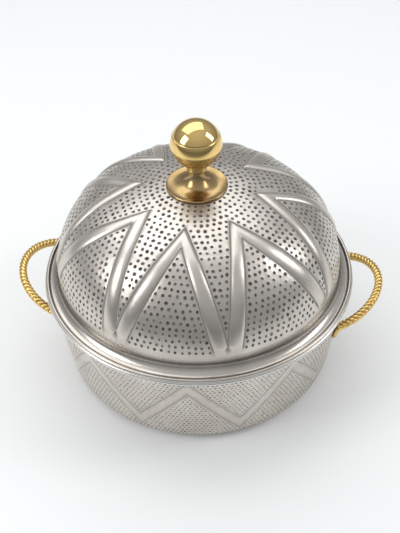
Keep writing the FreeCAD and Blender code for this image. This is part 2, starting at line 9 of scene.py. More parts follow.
import bpy
from mathutils import Matrix, Vector, noise
from mathutils.geometry import delaunay_2d_cdt


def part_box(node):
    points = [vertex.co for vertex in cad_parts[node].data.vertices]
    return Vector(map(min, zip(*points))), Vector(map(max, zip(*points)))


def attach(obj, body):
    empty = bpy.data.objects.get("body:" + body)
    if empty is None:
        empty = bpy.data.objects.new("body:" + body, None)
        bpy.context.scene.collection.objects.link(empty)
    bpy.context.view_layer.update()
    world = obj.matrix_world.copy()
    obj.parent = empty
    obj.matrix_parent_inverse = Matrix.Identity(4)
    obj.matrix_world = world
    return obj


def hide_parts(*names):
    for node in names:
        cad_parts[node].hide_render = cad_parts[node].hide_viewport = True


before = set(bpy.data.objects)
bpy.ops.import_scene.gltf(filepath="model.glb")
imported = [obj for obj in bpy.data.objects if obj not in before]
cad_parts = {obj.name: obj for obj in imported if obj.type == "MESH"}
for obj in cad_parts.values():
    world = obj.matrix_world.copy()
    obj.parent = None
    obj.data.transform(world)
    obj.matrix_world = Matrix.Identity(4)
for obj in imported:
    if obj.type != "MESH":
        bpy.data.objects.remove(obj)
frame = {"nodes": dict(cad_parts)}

logging.basicConfig(level=logging.INFO, format="%(message)s")
LOG = logging.getLogger("casserole")

MM = 0.001
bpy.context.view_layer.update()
Point = tuple[float, float]


def box_mm(node: str) -> tuple[Vector, Vector]:
    """Lowest and highest corner of a node, in millimetres.

    Args:
        node: Name of the node.

    Returns:
        The two corners.
    """
    low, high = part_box(node)
    return Vector(low) / MM, Vector(high) / MM


def polar(radius: float, angle: float, height: float) -> Vector:
    """Point at a radius, an angle and a height."""
    return Vector((radius * math.cos(angle), radius * math.sin(angle), height))


def smooth(low: float, high: float, value: float) -> float:
    """Ease from 0 at low to 1 at high.

    Args:
        low: Value at which the ease starts.
        high: Value at which the ease ends.
        value: Where to read it.

    Returns:
        A number from 0 to 1.
    """
    share = min(max((value - low) / (high - low), 0.0), 1.0)
    return share * share * (3.0 - 2.0 * share)


class Side(Enum):
    """The two handles, by the direction along X that they stand on."""

    RIGHT = 1
    LEFT = -1

    @property
    def node(self) -> str:
        """Name of the handle's node."""
        return f"{self.name.lower()}_handle"


class Graph:
    """Adds shader nodes to a material or a world and joins them."""

    def __init__(self, name: str, world: bool = False) -> None:
        """Start an empty material or world.

        Args:
            name: Name of the material or world.
            world: Whether it is a world.
        """
        self.owner = (bpy.data.worlds if world else bpy.data.materials).new(name)
        self.owner.use_nodes = True
        self.nodes = self.owner.node_tree.nodes
        self.links = self.owner.node_tree.links
        self.nodes.clear()
        self.output = self.nodes.new("ShaderNodeOutputWorld" if world else "ShaderNodeOutputMaterial")

    def add(self, kind: str, settings: dict | None = None, **inputs) -> bpy.types.Node:
        """Add a node.

        Args:
            kind: Type of the node.
            settings: Properties to set on it.
            **inputs: Values or output sockets for its inputs, with _ for a space.

        Returns:
            The new node.
        """
        node = self.nodes.new(kind)
        for key, value in (settings or {}).items():
            setattr(node, key, value)
        for key, value in inputs.items():
            socket = node.inputs[key.replace("_", " ")]
            if isinstance(value, bpy.types.NodeSocket):
                self.links.new(value, socket)
            else:
                socket.default_value = value
        return node

    def noise(self, scale: float, detail: float = 2.0, roughness: float = 0.5) -> bpy.types.NodeSocket:
        """Noise on the object's own coordinates.

        Args:
            scale: Waves per metre.
            detail: Octaves of the noise.
            roughness: How strong the finer octaves are.

        Returns:
            The noise's factor output.
        """
        place = self.add("ShaderNodeTexCoord").outputs["Object"]
        return self.add("ShaderNodeTexNoise", Vector=place, Scale=scale, Detail=detail,
                        Roughness=roughness).outputs["Fac"]

    def spread(self, value: bpy.types.NodeSocket, low: float, high: float,
               start: float = 0.0, end: float = 1.0) -> bpy.types.NodeSocket:
        """Map a value onto a range.

        Args:
            value: Socket to read.
            low: Result at the start.
            high: Result at the end.
            start: Value that gives low.
            end: Value that gives high.

        Returns:
            The mapped value.
        """
        node = self.add("ShaderNodeMapRange", Value=value)
        node.inputs["From Min"].default_value = start
        node.inputs["From Max"].default_value = end
        node.inputs["To Min"].default_value = low
        node.inputs["To Max"].default_value = high
        return node.outputs["Result"]

    def blend(self, share: bpy.types.NodeSocket | float, first, second,
              kind: str = "RGBA") -> bpy.types.NodeSocket:
        """Mix two colours or two values.

        Args:
            share: How much of the second one.
            first: Colour, value or socket.
            second: Colour, value or socket.
            kind: RGBA for colours, FLOAT for values.

        Returns:
            The mixed colour or value.
        """
        node = self.add("ShaderNodeMix", {"data_type": kind})
        before, after, result = (6, 7, 2) if kind == "RGBA" else (2, 3, 0)
        for index, value in ((0, share), (before, first), (after, second)):
            if isinstance(value, bpy.types.NodeSocket):
                self.links.new(value, node.inputs[index])
            else:
                node.inputs[index].default_value = value
        return node.outputs[result]

    def math(self, operation: str, first: bpy.types.NodeSocket,
             second: bpy.types.NodeSocket) -> bpy.types.NodeSocket:
        """Combine two values.

        Args:
            operation: Blender's name of the operation.
            first: First value.
            second: Second value.

        Returns:
            The result.
        """
        node = self.add("ShaderNodeMath", {"operation": operation})
        self.links.new(first, node.inputs[0])
        self.links.new(second, node.inputs[1])
        return node.outputs[0]

    def oxide(self) -> bpy.types.NodeSocket:
        """Painted shade that the mesh carries in its own attribute."""
        return self.add("ShaderNodeAttribute", {"attribute_name": "oxide"}).outputs["Fac"]

    def bump(self, height: bpy.types.NodeSocket, distance: float, strength: float = 1.0,
             normal: bpy.types.NodeSocket | None = None) -> bpy.types.NodeSocket:
        """Bump from a height.

        Args:
            height: Socket that gives the height.
            distance: Real height of a full step, in metres.
            strength: Share of the effect.
            normal: Normal to start from.

        Returns:
            The bumped normal.
        """
        node = self.add("ShaderNodeBump", Height=height, Distance=distance, Strength=strength)
        if normal is not None:
            self.links.new(normal, node.inputs["Normal"])
        return node.outputs["Normal"]

    def close(self, shader: bpy.types.Node) -> bpy.types.Material | bpy.types.World:
        """Join a shader to the output and give back what the graph belongs to."""
        self.links.new(shader.outputs[0], self.output.inputs["Surface"])
        return self.owner


@dataclass(frozen=True)
class HammeredSteel:
    """Satin steel with painted shade in its punch marks and engraved grooves, read from the mesh's own
    attribute.
    """

    name: str = "hammered_steel"
    bright: tuple = (0.74, 0.70, 0.645, 1.0)
    warm: tuple = (0.62, 0.575, 0.52, 1.0)
    # Colour of the painted shade in pits and grooves.
    oxide: tuple = (0.030, 0.027, 0.025, 1.0)
    roughness: float = 0.33

    def material(self) -> bpy.types.Material:
        """Build the material.

        Returns:
            The material.
        """
        graph = Graph(self.name)
        cloud = graph.spread(graph.noise(28.0, 3.0), 0.0, 1.0, 0.35, 0.68)
        metal = graph.blend(cloud, self.bright, self.warm)
        # Painted shade: the mesh's attribute darkens pits and grooves to near black, a little patchy, with
        # less metal and more roughness.
        dark = graph.oxide()
        shade_variation = graph.spread(graph.noise(260.0, 3.0), 0.9, 1.0, 0.3, 0.6)
        share = graph.math("MULTIPLY", dark, shade_variation)
        colour = graph.blend(share, metal, self.oxide)
        satin = graph.spread(graph.noise(90.0, 4.0), self.roughness - 0.05, self.roughness + 0.08)
        rough = graph.math("MAXIMUM", satin, graph.spread(dark, 0.0, 0.6))
        waves = graph.bump(graph.noise(120.0, 2.0), 0.0004, 0.3)
        grain = graph.bump(graph.noise(2600.0, 2.0), 0.00002, 0.5, waves)
        shader = graph.add("ShaderNodeBsdfPrincipled", Base_Color=colour, Roughness=rough,
                           Metallic=graph.spread(share, 1.0, 0.0, 0.1, 0.7), Normal=grain)
        shader.inputs["Specular IOR Level"].default_value = 0.15
        return graph.close(shader)


@dataclass(frozen=True)
class SpunSteel:
    """Smooth steel with the fine rings that spinning and polishing leave, and painted shade where the
    mesh's attribute asks for it.
    """

    name: str
    colour: tuple = (0.74, 0.70, 0.65, 1.0)
    shade: tuple = (0.62, 0.585, 0.54, 1.0)
    roughness: float = 0.24
    ring_scale: float = 900.0
    ring_depth: float = 0.00001
    # Colour of the painted shade.
    oxide: tuple = (0.03, 0.027, 0.025, 1.0)

    def material(self) -> bpy.types.Material:
        """Build the material.

        Returns:
            The material.
        """
        graph = Graph(self.name)
        place = graph.add("ShaderNodeTexCoord").outputs["Object"]
        split = graph.add("ShaderNodeSeparateXYZ", Vector=place)
        squares = graph.add("ShaderNodeVectorMath", {"operation": "MULTIPLY"})
        graph.links.new(place, squares.inputs[0])
        squares.inputs[1].default_value = (1.0, 1.0, 0.0)
        away = graph.add("ShaderNodeVectorMath", {"operation": "LENGTH"})
        graph.links.new(squares.outputs[0], away.inputs[0])
        lie = graph.add("ShaderNodeCombineXYZ", X=away.outputs["Value"], Y=split.outputs["Z"])
        rings = graph.add("ShaderNodeTexNoise", Vector=lie.outputs[0], Scale=self.ring_scale,
                          Detail=3.0).outputs["Fac"]
        cloud = graph.spread(graph.noise(24.0, 3.0), 0.0, 1.0, 0.35, 0.7)
        metal = graph.blend(cloud, self.colour, self.shade)
        # Painted shade from the mesh's attribute: in the crease and under the lid's rim.
        colour = graph.blend(graph.oxide(), metal, self.oxide)
        rough = graph.spread(rings, self.roughness - 0.05, self.roughness + 0.09, 0.3, 0.7)
        normal = graph.bump(rings, self.ring_depth, 0.6)
        shader = graph.add("ShaderNodeBsdfPrincipled", Base_Color=colour, Metallic=1.0,
                           Roughness=rough, Normal=normal)
        return graph.close(shader)


@dataclass(frozen=True)
class Brass:
    """Brass from mirror bright to antique, with brown in its hollows: partly tarnish kept there, partly
    painted shade from ambient occlusion.
    """

    name: str
    bright: tuple = (0.86, 0.60, 0.22, 1.0)
    brown: tuple = (0.30, 0.17, 0.06, 1.0)
    tarnish: float = 0.0
    hollow_reach: float = 0.0015
    hollow: float = 1.0
    roughness: float = 0.09
    dent_scale: float = 160.0
    dent_depth: float = 0.00008

    def material(self) -> bpy.types.Material:
        """Build the material.

        Returns:
            The material.
        """
        graph = Graph(self.name)
        cloud = graph.spread(graph.noise(70.0, 4.0), 0.0, self.tarnish, 0.35, 0.75)
        metal = graph.blend(cloud, self.bright, self.brown)
        # Brown in the hollows by ambient occlusion: partly tarnish, partly painted shade in creases and the
        # gaps between strands and grains.
        crease = graph.add("ShaderNodeAmbientOcclusion", {"samples": 8}, Distance=self.hollow_reach)
        darkening = graph.spread(crease.outputs["AO"], self.hollow, 0.0, 0.35, 0.95)
        colour = graph.blend(darkening, metal, self.brown)
        rough = graph.spread(graph.noise(240.0, 3.0), self.roughness * 0.8, self.roughness * 1.5)
        normal = graph.bump(graph.noise(self.dent_scale, 2.0), self.dent_depth, 0.4)
        shader = graph.add("ShaderNodeBsdfPrincipled", Base_Color=colour, Metallic=1.0,
                           Roughness=rough, Normal=normal)
        return graph.close(shader)


@dataclass(frozen=True)
class Plain:
    """A quiet finish for the pieces that the walls hide."""

    name: str
    colour: tuple
    shade: tuple
    metallic: float
    roughness: float
    cell_scale: float = 400.0
    cell_depth: float = 0.0001

    def material(self) -> bpy.types.Material:
        """Build the material.

        Returns:
            The material.
        """
        graph = Graph(self.name)
        cells = graph.noise(self.cell_scale, 3.0)
        colour = graph.blend(graph.spread(cells, 0.0, 1.0, 0.35, 0.65), self.colour, self.shade)
        normal = graph.bump(cells, self.cell_depth, 0.6)
        shader = graph.add("ShaderNodeBsdfPrincipled", Base_Color=colour, Metallic=self.metallic,
                           Roughness=self.roughness, Normal=normal)
        return graph.close(shader)


@dataclass(frozen=True)
class Finishes:
    """Every material of the object, built once."""

    hammered: bpy.types.Material
    rim: bpy.types.Material
    food: bpy.types.Material
    handle: bpy.types.Material
    antique: bpy.types.Material
    stippled: bpy.types.Material
    polished: bpy.types.Material
    foam: bpy.types.Material
    plug: bpy.types.Material
    fastener: bpy.types.Material

    @classmethod
    def build(cls) -> "Finishes":
        """Build all the materials.

        Returns:
            The set of finishes.
        """
        return cls(
            hammered=HammeredSteel().material(),
            rim=SpunSteel("rim_steel", (0.66, 0.62, 0.57, 1.0), (0.5, 0.465, 0.42, 1.0), 0.24).material(),
            food=SpunSteel("food_steel", (0.80, 0.79, 0.77, 1.0), (0.72, 0.71, 0.69, 1.0), 0.24,
                           1400.0, 0.00002).material(),
            handle=Brass("handle_brass", hollow_reach=0.0022, roughness=0.13).material(),
            antique=Brass("antique_brass", (0.60, 0.43, 0.20, 1.0), (0.20, 0.12, 0.06, 1.0), 0.55,
                          0.006, 0.7, 0.2, 60.0, 0.0003).material(),
            stippled=Brass("stippled_brass", (0.74, 0.50, 0.17, 1.0), (0.22, 0.12, 0.04, 1.0), 0.3,
                           0.0012, 1.0, 0.2).material(),
            polished=Brass("polished_brass", (0.88, 0.63, 0.25, 1.0), (0.5, 0.3, 0.1, 1.0), 0.0,
                           0.001, 0.5, 0.05, 30.0, 0.00004).material(),
            foam=Plain("foam", (0.90, 0.84, 0.66, 1.0), (0.82, 0.74, 0.54, 1.0), 0.0, 0.9,
                       600.0, 0.0003).material(),
            plug=Plain("plug_plastic", (0.03, 0.03, 0.03, 1.0), (0.05, 0.05, 0.05, 1.0), 0.0,
                       0.5).material(),
            fastener=Plain("fastener_steel", (0.55, 0.55, 0.54, 1.0), (0.45, 0.45, 0.44, 1.0), 1.0,
                           0.35).material(),
        )


def placed(name: str, data: bpy.types.ID) -> bpy.types.Object:
    """Put new data into the scene as an object.

    Args:
        name: Name of the object.
        data: Its mesh, lamp or camera.

    Returns:
        The object.
    """
    thing = bpy.data.objects.new(name, data)
    bpy.context.scene.collection.objects.link(thing)
    return thing


def set_oxide(thing: bpy.types.Object, values: Sequence[float]) -> None:
    """Store a painted shade, as a darkness, for every point of a mesh."""
    thing.data.attributes.new("oxide", "FLOAT", "POINT").data.foreach_set("value", values)


def solid(name: str, points: Sequence[Vector], faces: Sequence[Sequence[int]],
          sharp_angle: float = 40.0) -> bpy.types.Object:
    """Make a smooth-shaded mesh object from points in millimetres.

    Args:
        name: Name of the object.
        points: Corner points.
        faces: Faces as lists of point numbers.
        sharp_angle: Edges that turn more than this many degrees stay sharp.

    Returns:
        The new object.
    """
    mesh = bpy.data.meshes.new(name)
    mesh.from_pydata([point * MM for point in points], [], faces)
    mesh.update()
    mesh.shade_smooth()
    mesh.set_sharp_from_angle(angle=math.radians(sharp_angle))
    return placed(name, mesh)


def lofted(name: str, rings: Sequence[Sequence[Vector]], sharp_angle: float,
           flip: bool = False) -> bpy.types.Object:
    """Skin a row of equal rings and close its two ends.

    Args:
        name: Name of the object.
        rings: Rings of points in millimetres.
        sharp_angle: Edges that turn more than this many degrees stay sharp.
        flip: Whether the rings run the other way round.

    Returns:
        The new object.
    """
    corners = len(rings[0])
    last = (len(rings) - 1) * corners
    faces = []
    for index in range(0, last, corners):
        for corner in range(corners):
            here, there = index + corner, index + (corner + 1) % corners
            faces.append([here, there, there + corners, here + corners])
    faces.append(list(reversed(range(corners))))
    faces.append([last + corner for corner in range(corners)])
    if flip:
        faces = [list(reversed(face)) for face in faces]
    return solid(name, [point for ring in rings for point in ring], faces, sharp_angle)


def ring_of(centre: Vector, across: Vector, over: Vector, corners: int) -> list[Vector]:
    """Points of an ellipse.

    Args:
        centre: Its centre.
        across: First half axis.
        over: Second half axis.
        corners: Number of points.

    Returns:
        The points.
    """
    turns = [2.0 * math.pi * corner / corners for corner in range(corners)]
    return [centre + across * math.cos(angle) + over * math.sin(angle) for angle in turns]


def joined(name: str, things: Sequence[bpy.types.Object]) -> bpy.types.Object:
    """Join objects into one.

    Args:
        name: Name of the result.
        things: Objects to join.

    Returns:
        The joined object.
    """
    bpy.ops.object.select_all(action="DESELECT")
    for thing in things:
        thing.select_set(True)
    bpy.context.view_layer.objects.active = things[0]
    bpy.ops.object.join()
    things[0].name = name
    things[0].data.name = name
    return things[0]


def welded(name: str, things: Sequence[bpy.types.Object]) -> bpy.types.Object:
    """Join objects into one and merge the points that they share.

    Args:
        name: Name of the result.
        things: Objects to join.

    Returns:
        The welded object.
    """
    whole = joined(name, things)
    weld = whole.modifiers.new("weld", "WELD")
    weld.merge_threshold = 0.00002
    bpy.context.view_layer.objects.active = whole
    bpy.ops.object.modifier_apply(modifier="weld")
    return whole


def dress(thing: bpy.types.Object, material: bpy.types.Material) -> None:
    """Give an object one material."""
    thing.data.materials.clear()
    thing.data.materials.append(material)


def settle(thing: bpy.types.Object, material: bpy.types.Material | None, body: str, slot: str,
           *nodes: str) -> None:
    """Dress a finished piece and let it ride on its body in place of CAD nodes.

    Args:
        thing: The finished piece.
        material: Its one material, or None where it has its own.
        body: Body that carries it.
        slot: Name of a material slot; not used.
        *nodes: Nodes that it stands for.
    """
    if material is not None:
        dress(thing, material)
    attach(thing, body)
    if nodes:
        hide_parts(*nodes)
    LOG.info("%s: %d faces on %s", thing.name, len(thing.data.polygons), body)


def arc(centre: Point, radius: float, start: float, end: float, steps: int) -> list[Point]:
    """Points along an arc.

    Args:
        centre: Centre, as (radius, height).
        radius: Radius of the arc.
        start: First angle in degrees, from the radius axis towards up.
        end: Last angle in degrees.
        steps: Number of spans.

    Returns:
        The points, both ends included.
    """
    turn = [math.radians(start + (end - start) * step / steps) for step in range(steps + 1)]
    return [(centre[0] + radius * math.cos(angle), centre[1] + radius * math.sin(angle))
            for angle in turn]


def turned(name: str, outline: Sequence[Point], segments: int = 160, closed: bool = True,
           sharp_angle: float = 40.0, darkening: Callable[[float, float], float] | None = None
           ) -> bpy.types.Object:
    """Turn an outline about Z.

    Args:
        name: Name of the object.
        outline: (radius, height) points, counter-clockwise as seen with the axis on the left.
        segments: Steps round the axis.
        closed: Whether the last point joins the first.
        sharp_angle: Edges that turn more than this many degrees stay sharp.
        darkening: Gives the darkness at a radius and height.

    Returns:
        The turned object.
    """
    points: list[Vector] = []
    rings: list[list[int]] = []
    for radius, height in outline:
        if radius < 1e-6:
            rings.append([len(points)] * segments)
            points.append(Vector((0.0, 0.0, height)))
            continue
        ring = []
        for step in range(segments):
            angle = 2.0 * math.pi * step / segments
            ring.append(len(points))
            points.append(polar(radius, angle, height))
        rings.append(ring)
    faces = []
    count = len(rings)
    for place in range(count if closed else count - 1):
        low, high = rings[place], rings[(place + 1) % count]
        for step in range(segments):
            following = (step + 1) % segments
            face = [low[step], low[following], high[following], high[step]]
            face = [corner for index, corner in enumerate(face) if corner != face[index - 1]]
            if len(set(face)) > 2:
                faces.append(face)
    thing = solid(name, points, faces, sharp_angle)
    if darkening is not None:
        set_oxide(thing, [darkening(math.hypot(point.x, point.y), point.z) for point in points])
    return thing


@dataclass(frozen=True)
class DomeCurve:
    """Crown arc and shoulder arc that run smoothly into a vertical wall."""

    radius: float
    spring: float
    shoulder: float
    top: float

    @property
    def offset(self) -> float:
        """Distance of the shoulder's centre from the axis."""
        return self.radius - self.shoulder

    @property
    def crown(self) -> float:
        """Radius of the crown."""
        rise = self.top - self.spring
        return (self.offset ** 2 + rise ** 2 - self.shoulder ** 2) / (2.0 * (rise - self.shoulder))

    @property
    def joint(self) -> float:
        """Angle from vertical at which the two arcs meet."""
        return math.asin(self.offset / (self.crown - self.shoulder))

    @property
    def crown_length(self) -> float:
        """Length of the crown, from the axis to the shoulder."""
        return self.crown * self.joint

    @property
    def length(self) -> float:
        """Length from the axis to the vertical wall."""
        return self.crown_length + self.shoulder * (math.pi / 2.0 - self.joint)

    def at(self, run: float) -> tuple[float, float, float]:
        """Where a length along the dome leads.

        Args:
            run: Length from the axis along the surface.

        Returns:
            Radius, height, and the surface normal's angle from vertical.
        """
        if run <= self.crown_length:
            lean = run / self.crown
            return (self.crown * math.sin(lean),
                    self.top - self.crown + self.crown * math.cos(lean), lean)
        lean = self.joint + (run - self.crown_length) / self.shoulder
        if lean <= math.pi / 2.0:
            return (self.offset + self.shoulder * math.sin(lean),
                    self.spring + self.shoulder * math.cos(lean), lean)
        return self.radius, self.spring - (run - self.length), math.pi / 2.0

    def run_to(self, radius: float) -> float:
        """Length along the dome to a radius.

        Args:
            radius: Distance from the axis.

        Returns:
            The length, found by halving.
        """
        low, high = 0.0, self.length
        for _ in range(50):
            middle = (low + high) / 2.0
            if self.at(middle)[0] < radius:
                low = middle
            else:
                high = middle
        return low

    def outline(self, steps: int, inward: float = 0.0) -> list[Point]:
        """Points from the axis to the vertical wall, on a face inside the outer one.

        Args:
            steps: Number of spans.
            inward: Distance of the face from the outer one.

        Returns:
            (radius, height) points.
        """
        found = []
        for step in range(steps + 1):
            radius, height, lean = self.at(self.length * step / steps)
            found.append((radius - inward * math.sin(lean), height - inward * math.cos(lean)))
        return found


class ReliefSheet:
    """A flat drawing of points with heights and darkness, wrapped on a curved wall as one mesh."""

    def __init__(self, cell: float = 1.5) -> None:
        """Start an empty drawing.

        Args:
            cell: Width of the squares in which near points are looked up.
        """
        self.cell = cell
        self.places: list[Vector] = []
        self.heights: list[float] = []
        self.oxides: list[float] = []
        self.edges: list[tuple[int, int]] = []
        self.squares: dict[tuple[int, int], list[int]] = {}

    def add(self, x: float, y: float, height: float, oxide: float = 0.0) -> int:
        """Add one point.

        Args:
            x: First coordinate of the drawing.
            y: Second coordinate of the drawing.
            height: Height over the wall.
            oxide: Darkness, from 0 to 1.

        Returns:
            The point's number.
        """
        index = len(self.places)
        self.places.append(Vector((x, y)))
        self.heights.append(height)
        self.oxides.append(oxide)
        self.squares.setdefault((int(x // self.cell), int(y // self.cell)), []).append(index)
        return index

    def free(self, x: float, y: float, reach: float) -> bool:
        """Whether no point lies within a reach.

        Args:
            x: First coordinate.
            y: Second coordinate.
            reach: Distance to keep clear.

        Returns:
            True if the place is free.
        """
        span = int(math.ceil(reach / self.cell))
        column, row = int(x // self.cell), int(y // self.cell)
        for across in range(column - span, column + span + 1):
            for up in range(row - span, row + span + 1):
                for index in self.squares.get((across, up), ()):
                    other = self.places[index]
                    if (other.x - x) ** 2 + (other.y - y) ** 2 < reach * reach:
                        return False
        return True

    def chain(self, places: Iterable[tuple[float, float, float, float]], closed: bool = False) -> None:
        """Add a line of points whose spans become edges of the mesh.

        Args:
            places: (x, y, height, oxide) of each point.
            closed: Whether the last point joins the first.
        """
        numbers = [self.add(*place) for place in places]
        self.edges.extend(zip(numbers, numbers[1:]))
        if closed:
            self.edges.append((numbers[-1], numbers[0]))

    def pit(self, x: float, y: float, radius: float, depth: float, base: float, corners: int,
            oxide: float, generator: random.Random, collar: float = 0.3) -> None:
        """Punch one pit.

        Args:
            x: Centre.
            y: Centre.
            radius: Radius of the mouth.
            depth: Depth under the wall around it.
            base: Height of the wall there.
            corners: Points round the pit.
            oxide: Darkness of its floor.
            generator: Source of the small differences between pits.
            collar: Width of the flat ring kept round the mouth.
        """
        start = generator.random() * math.pi
        wide = 1.0 + generator.uniform(-0.12, 0.12)
        # The mouth ring and the floor of each pit carry painted shade.
        rings = ((radius + collar, base, 0.0), (radius, base + 0.03, 0.72 * oxide),
                 (radius * 0.72, base - depth * 0.7, oxide))
        for reach, height, dark in rings:
            for corner in range(corners):
                angle = start + 2.0 * math.pi * corner / corners
                self.add(x + reach * wide * math.cos(angle), y + reach / wide * math.sin(angle),
                         height, dark)
        self.add(x, y, base - depth, oxide)

    def wrap(self, name: str, wall: Callable[[float, float, float], Vector]) -> bpy.types.Object:
        """Make the mesh.

        Args:
            name: Name of the object.
            wall: Gives the real point for x, y and a height over the wall.

        Returns:
            The object, with the darkness in its attribute.
        """
        found = delaunay_2d_cdt(self.places, self.edges, [], 0, 1e-5)
        places, _, faces, origins = found[:4]
        heights = [self.heights[group[0]] if group else 0.0 for group in origins]
        oxides = [self.oxides[group[0]] if group else 0.0 for group in origins]
        points = [wall(place.x, place.y, height) for place, height in zip(places, heights)]
        thing = solid(name, points, faces, 75.0)
        set_oxide(thing, oxides)
        return thing


@dataclass(frozen=True)
class Chevron:
    """One hand-chased chevron: its middle, its peak, and how its two legs spread and bow."""

    axis: float
    peak: float
    left: tuple[float, float]
    right: tuple[float, float]
    band_step: float = 17.6
    band_narrowing: float = 0.087
    bow_reach: float = 130.0

    def half(self, along: float, side: float, share: float) -> float:
        """Distance of a line from the chevron's middle.

        Args:
            along: Distance along the middle, from the knob's axis.
            side: 1 for the right leg, -1 for the left one.
            share: 0 for the outer outline, 1 for the inner one.

        Returns:
            The distance.
        """
        slope, bow = self.right if side > 0.0 else self.left
        start = self.start(share)
        run = (along - start) / (self.bow_reach - start)
        return (slope - share * self.band_narrowing) * (along - start) + 4.0 * bow * run * (1.0 - run)

    def slope(self, side: float) -> float:
        """How fast a leg leaves the middle."""
        return self.right[0] if side > 0.0 else self.left[0]

    def start(self, share: float) -> float:
        """Where a line's two legs meet, along the middle."""
        return self.peak + share * self.band_step

    def local(self, x: float, y: float) -> tuple[float, float, float]:
        """Turn a drawing point into this chevron's frame.

        Args:
            x: First drawing coordinate.
            y: Second drawing coordinate.

        Returns:
            Distance along the middle, distance from it, and the side.
        """
        turn = math.radians(self.axis)
        along = x * math.cos(turn) + y * math.sin(turn)
        off = -x * math.sin(turn) + y * math.cos(turn)
        return along, abs(off), 1.0 if off > 0.0 else -1.0


@dataclass
class Lid:
    """Hammered dome with eight smooth chevrons, its plain rim, and the inner cover."""

    finishes: Finishes
    curve: DomeCurve = DomeCurve(113.46, 95.65, 66.0, 170.2)
    sheet: float = 0.8
    rim_height: float = 85.0
    flange: float = 1.0
    cove: float = 7.2
    crease_radius: float = 121.2
    bead_radius: float = 124.2
    bead_round: float = 0.6
    hem_radius: float = 112.0
    seat_radius: float = 23.5
    chevrons: tuple[Chevron, ...] = (
        Chevron(-184.6, 42.5, (0.62, -2.0), (0.56, 5.0)),
        Chevron(-138.5, 42.9, (0.69, -4.6), (0.59, 2.0)),
        Chevron(-95.3, 46.2, (0.63, -3.0), (0.61, -1.3)),
        Chevron(-53.0, 45.3, (0.59, 0.3), (0.79, -4.9)),
        Chevron(-3.4, 44.6, (0.59, 3.8), (0.53, 0.0)),
        Chevron(41.5, 44.0, (0.62, -1.0), (0.60, 0.5)),
        Chevron(86.5, 45.0, (0.60, 1.0), (0.62, -1.5)),
        Chevron(131.0, 44.0, (0.61, 0.0), (0.60, 1.0)),
    )
    pattern_end: float = 144.5
    sheet_end: float = 148.0
    boundary_steps: int = 288
    field_depth: float = 0.2
    crest: float = 1.15
    crest_floor: float = 0.1
    crest_roundness: float = 0.7
    groove_floor: float = 0.3
    groove_depth: float = 0.15
    groove_half: float = 0.5
    groove_darkness: float = 0.95
    line_spacing: float = 2.0
    line_steps: int = 80
    line_overrun: float = 0.6
    line_shares: tuple[float, ...] = (0.12, 0.3, 0.5, 0.7, 0.88)
    dent: float = 0.12
    dent_length: float = 11.0
    pit_pitch: float = 4.9
    row_pitch: float = 4.7
    row_wander: float = 0.15
    row_start: float = 2.4
    row_stop: float = 1.2
    row_steps: int = 720
    pit_radius: float = 1.38
    pit_depth: float = 0.36
    pit_corners: int = 9
    pit_gap: float = 0.42
    edge_gap: float = 0.3
    wander_along: float = 0.45
    wander_across: float = 0.55
    grid: float = 3.1
    line_gap: float = 1.15
    seed: int = 11

    def edge_distances(self, x: float, y: float) -> tuple[float, float]:
        """Distances inside the outer and the inner outline, negative outside.

        Args:
            x: First drawing coordinate.
            y: Second drawing coordinate.

        Returns:
            The two distances, in the chevron that comes nearest.
        """
        best = (-1000.0, -1000.0)
        for chevron in self.chevrons:
            along, off, side = chevron.local(x, y)
            if along < 0.0:
                continue
            lean = math.hypot(1.0, chevron.slope(side))
            outer = (chevron.half(along, side, 0.0) - off) / lean
            if outer > best[0]:
                best = (outer, (chevron.half(along, side, 1.0) - off) / lean)
        return best

    def relief(self, x: float, y: float) -> float:
        """Height of the smooth bands and the sunk fields, without pits and outlines.

        Args:
            x: First drawing coordinate.
            y: Second drawing coordinate.

        Returns:
            Height over the dome.
        """
        run = math.hypot(x, y)
        fade = 1.0 - smooth(self.pattern_end - 5.0, self.pattern_end + 1.5, run)
        outer, inner = self.edge_distances(x, y)
        if outer > 0.0 and inner < 0.0:
            share = math.sin(math.pi * outer / (outer - inner)) ** self.crest_roundness
            return (self.crest * share - self.crest_floor) * fade
        seat = smooth(self.seat_radius - 2.0, self.seat_radius + 5.0, run)
        spot = Vector((x, y, 0.0)) / self.dent_length
        return (self.dent * noise.noise(spot) - self.field_depth) * fade * seat

    def outlines(self, sheet: ReliefSheet) -> None:
        """Draw the engraved outlines and the lines that shape the bands.

        Args:
            sheet: The drawing.
        """
        for chevron in self.chevrons:
            for share in (0.0, 1.0):
                for shift, groove in ((-self.groove_half, 0.5), (0.0, 1.0), (self.groove_half, 0.5)):
                    self.band_line(sheet, chevron, share, shift, groove)
            for share in self.line_shares:
                self.band_line(sheet, chevron, share, 0.0, 0.0)

    def band_line(self, sheet: ReliefSheet, chevron: Chevron, share: float, shift: float,
                  groove: float) -> None:
        """Draw one line along both legs of a chevron.

        Args:
            sheet: The drawing.
            chevron: The chevron.
            share: 0 for the outer outline, 1 for the inner one.
            shift: Distance by which the line stands inside its place.
            groove: How much of the engraving's depth and darkness it has.
        """
        turn = math.radians(chevron.axis)
        legs = []
        for side in (-1.0, 1.0):
            slope = chevron.slope(side)
            ahead = shift * math.hypot(1.0, slope) / slope
            leg = []
            for step in range(self.line_steps):
                along = chevron.start(share) + step * self.line_spacing / math.hypot(1.0, slope)
                off = max(chevron.half(along, side, share), 0.0) * side
                x = (along + ahead) * math.cos(turn) - off * math.sin(turn)
                y = (along + ahead) * math.sin(turn) + off * math.cos(turn)
                run = math.hypot(x, y)
                if run > self.pattern_end + self.line_overrun:
                    break
                fade = 1.0 - smooth(self.pattern_end - 3.0, self.pattern_end + 0.5, run)
                height = self.relief(x, y)
                if groove:
                    cut = (self.groove_floor + self.groove_depth) * groove * fade
                    height = min(height, 0.0) * (1.0 - groove) - cut
                # Painted shade along the engraved outlines, weaker where the pattern fades out.
                leg.append((x, y, height, self.groove_darkness * groove * (0.3 + 0.7 * fade)))
            legs.append(leg)
        sheet.chain(list(reversed(legs[0][1:])) + legs[1])

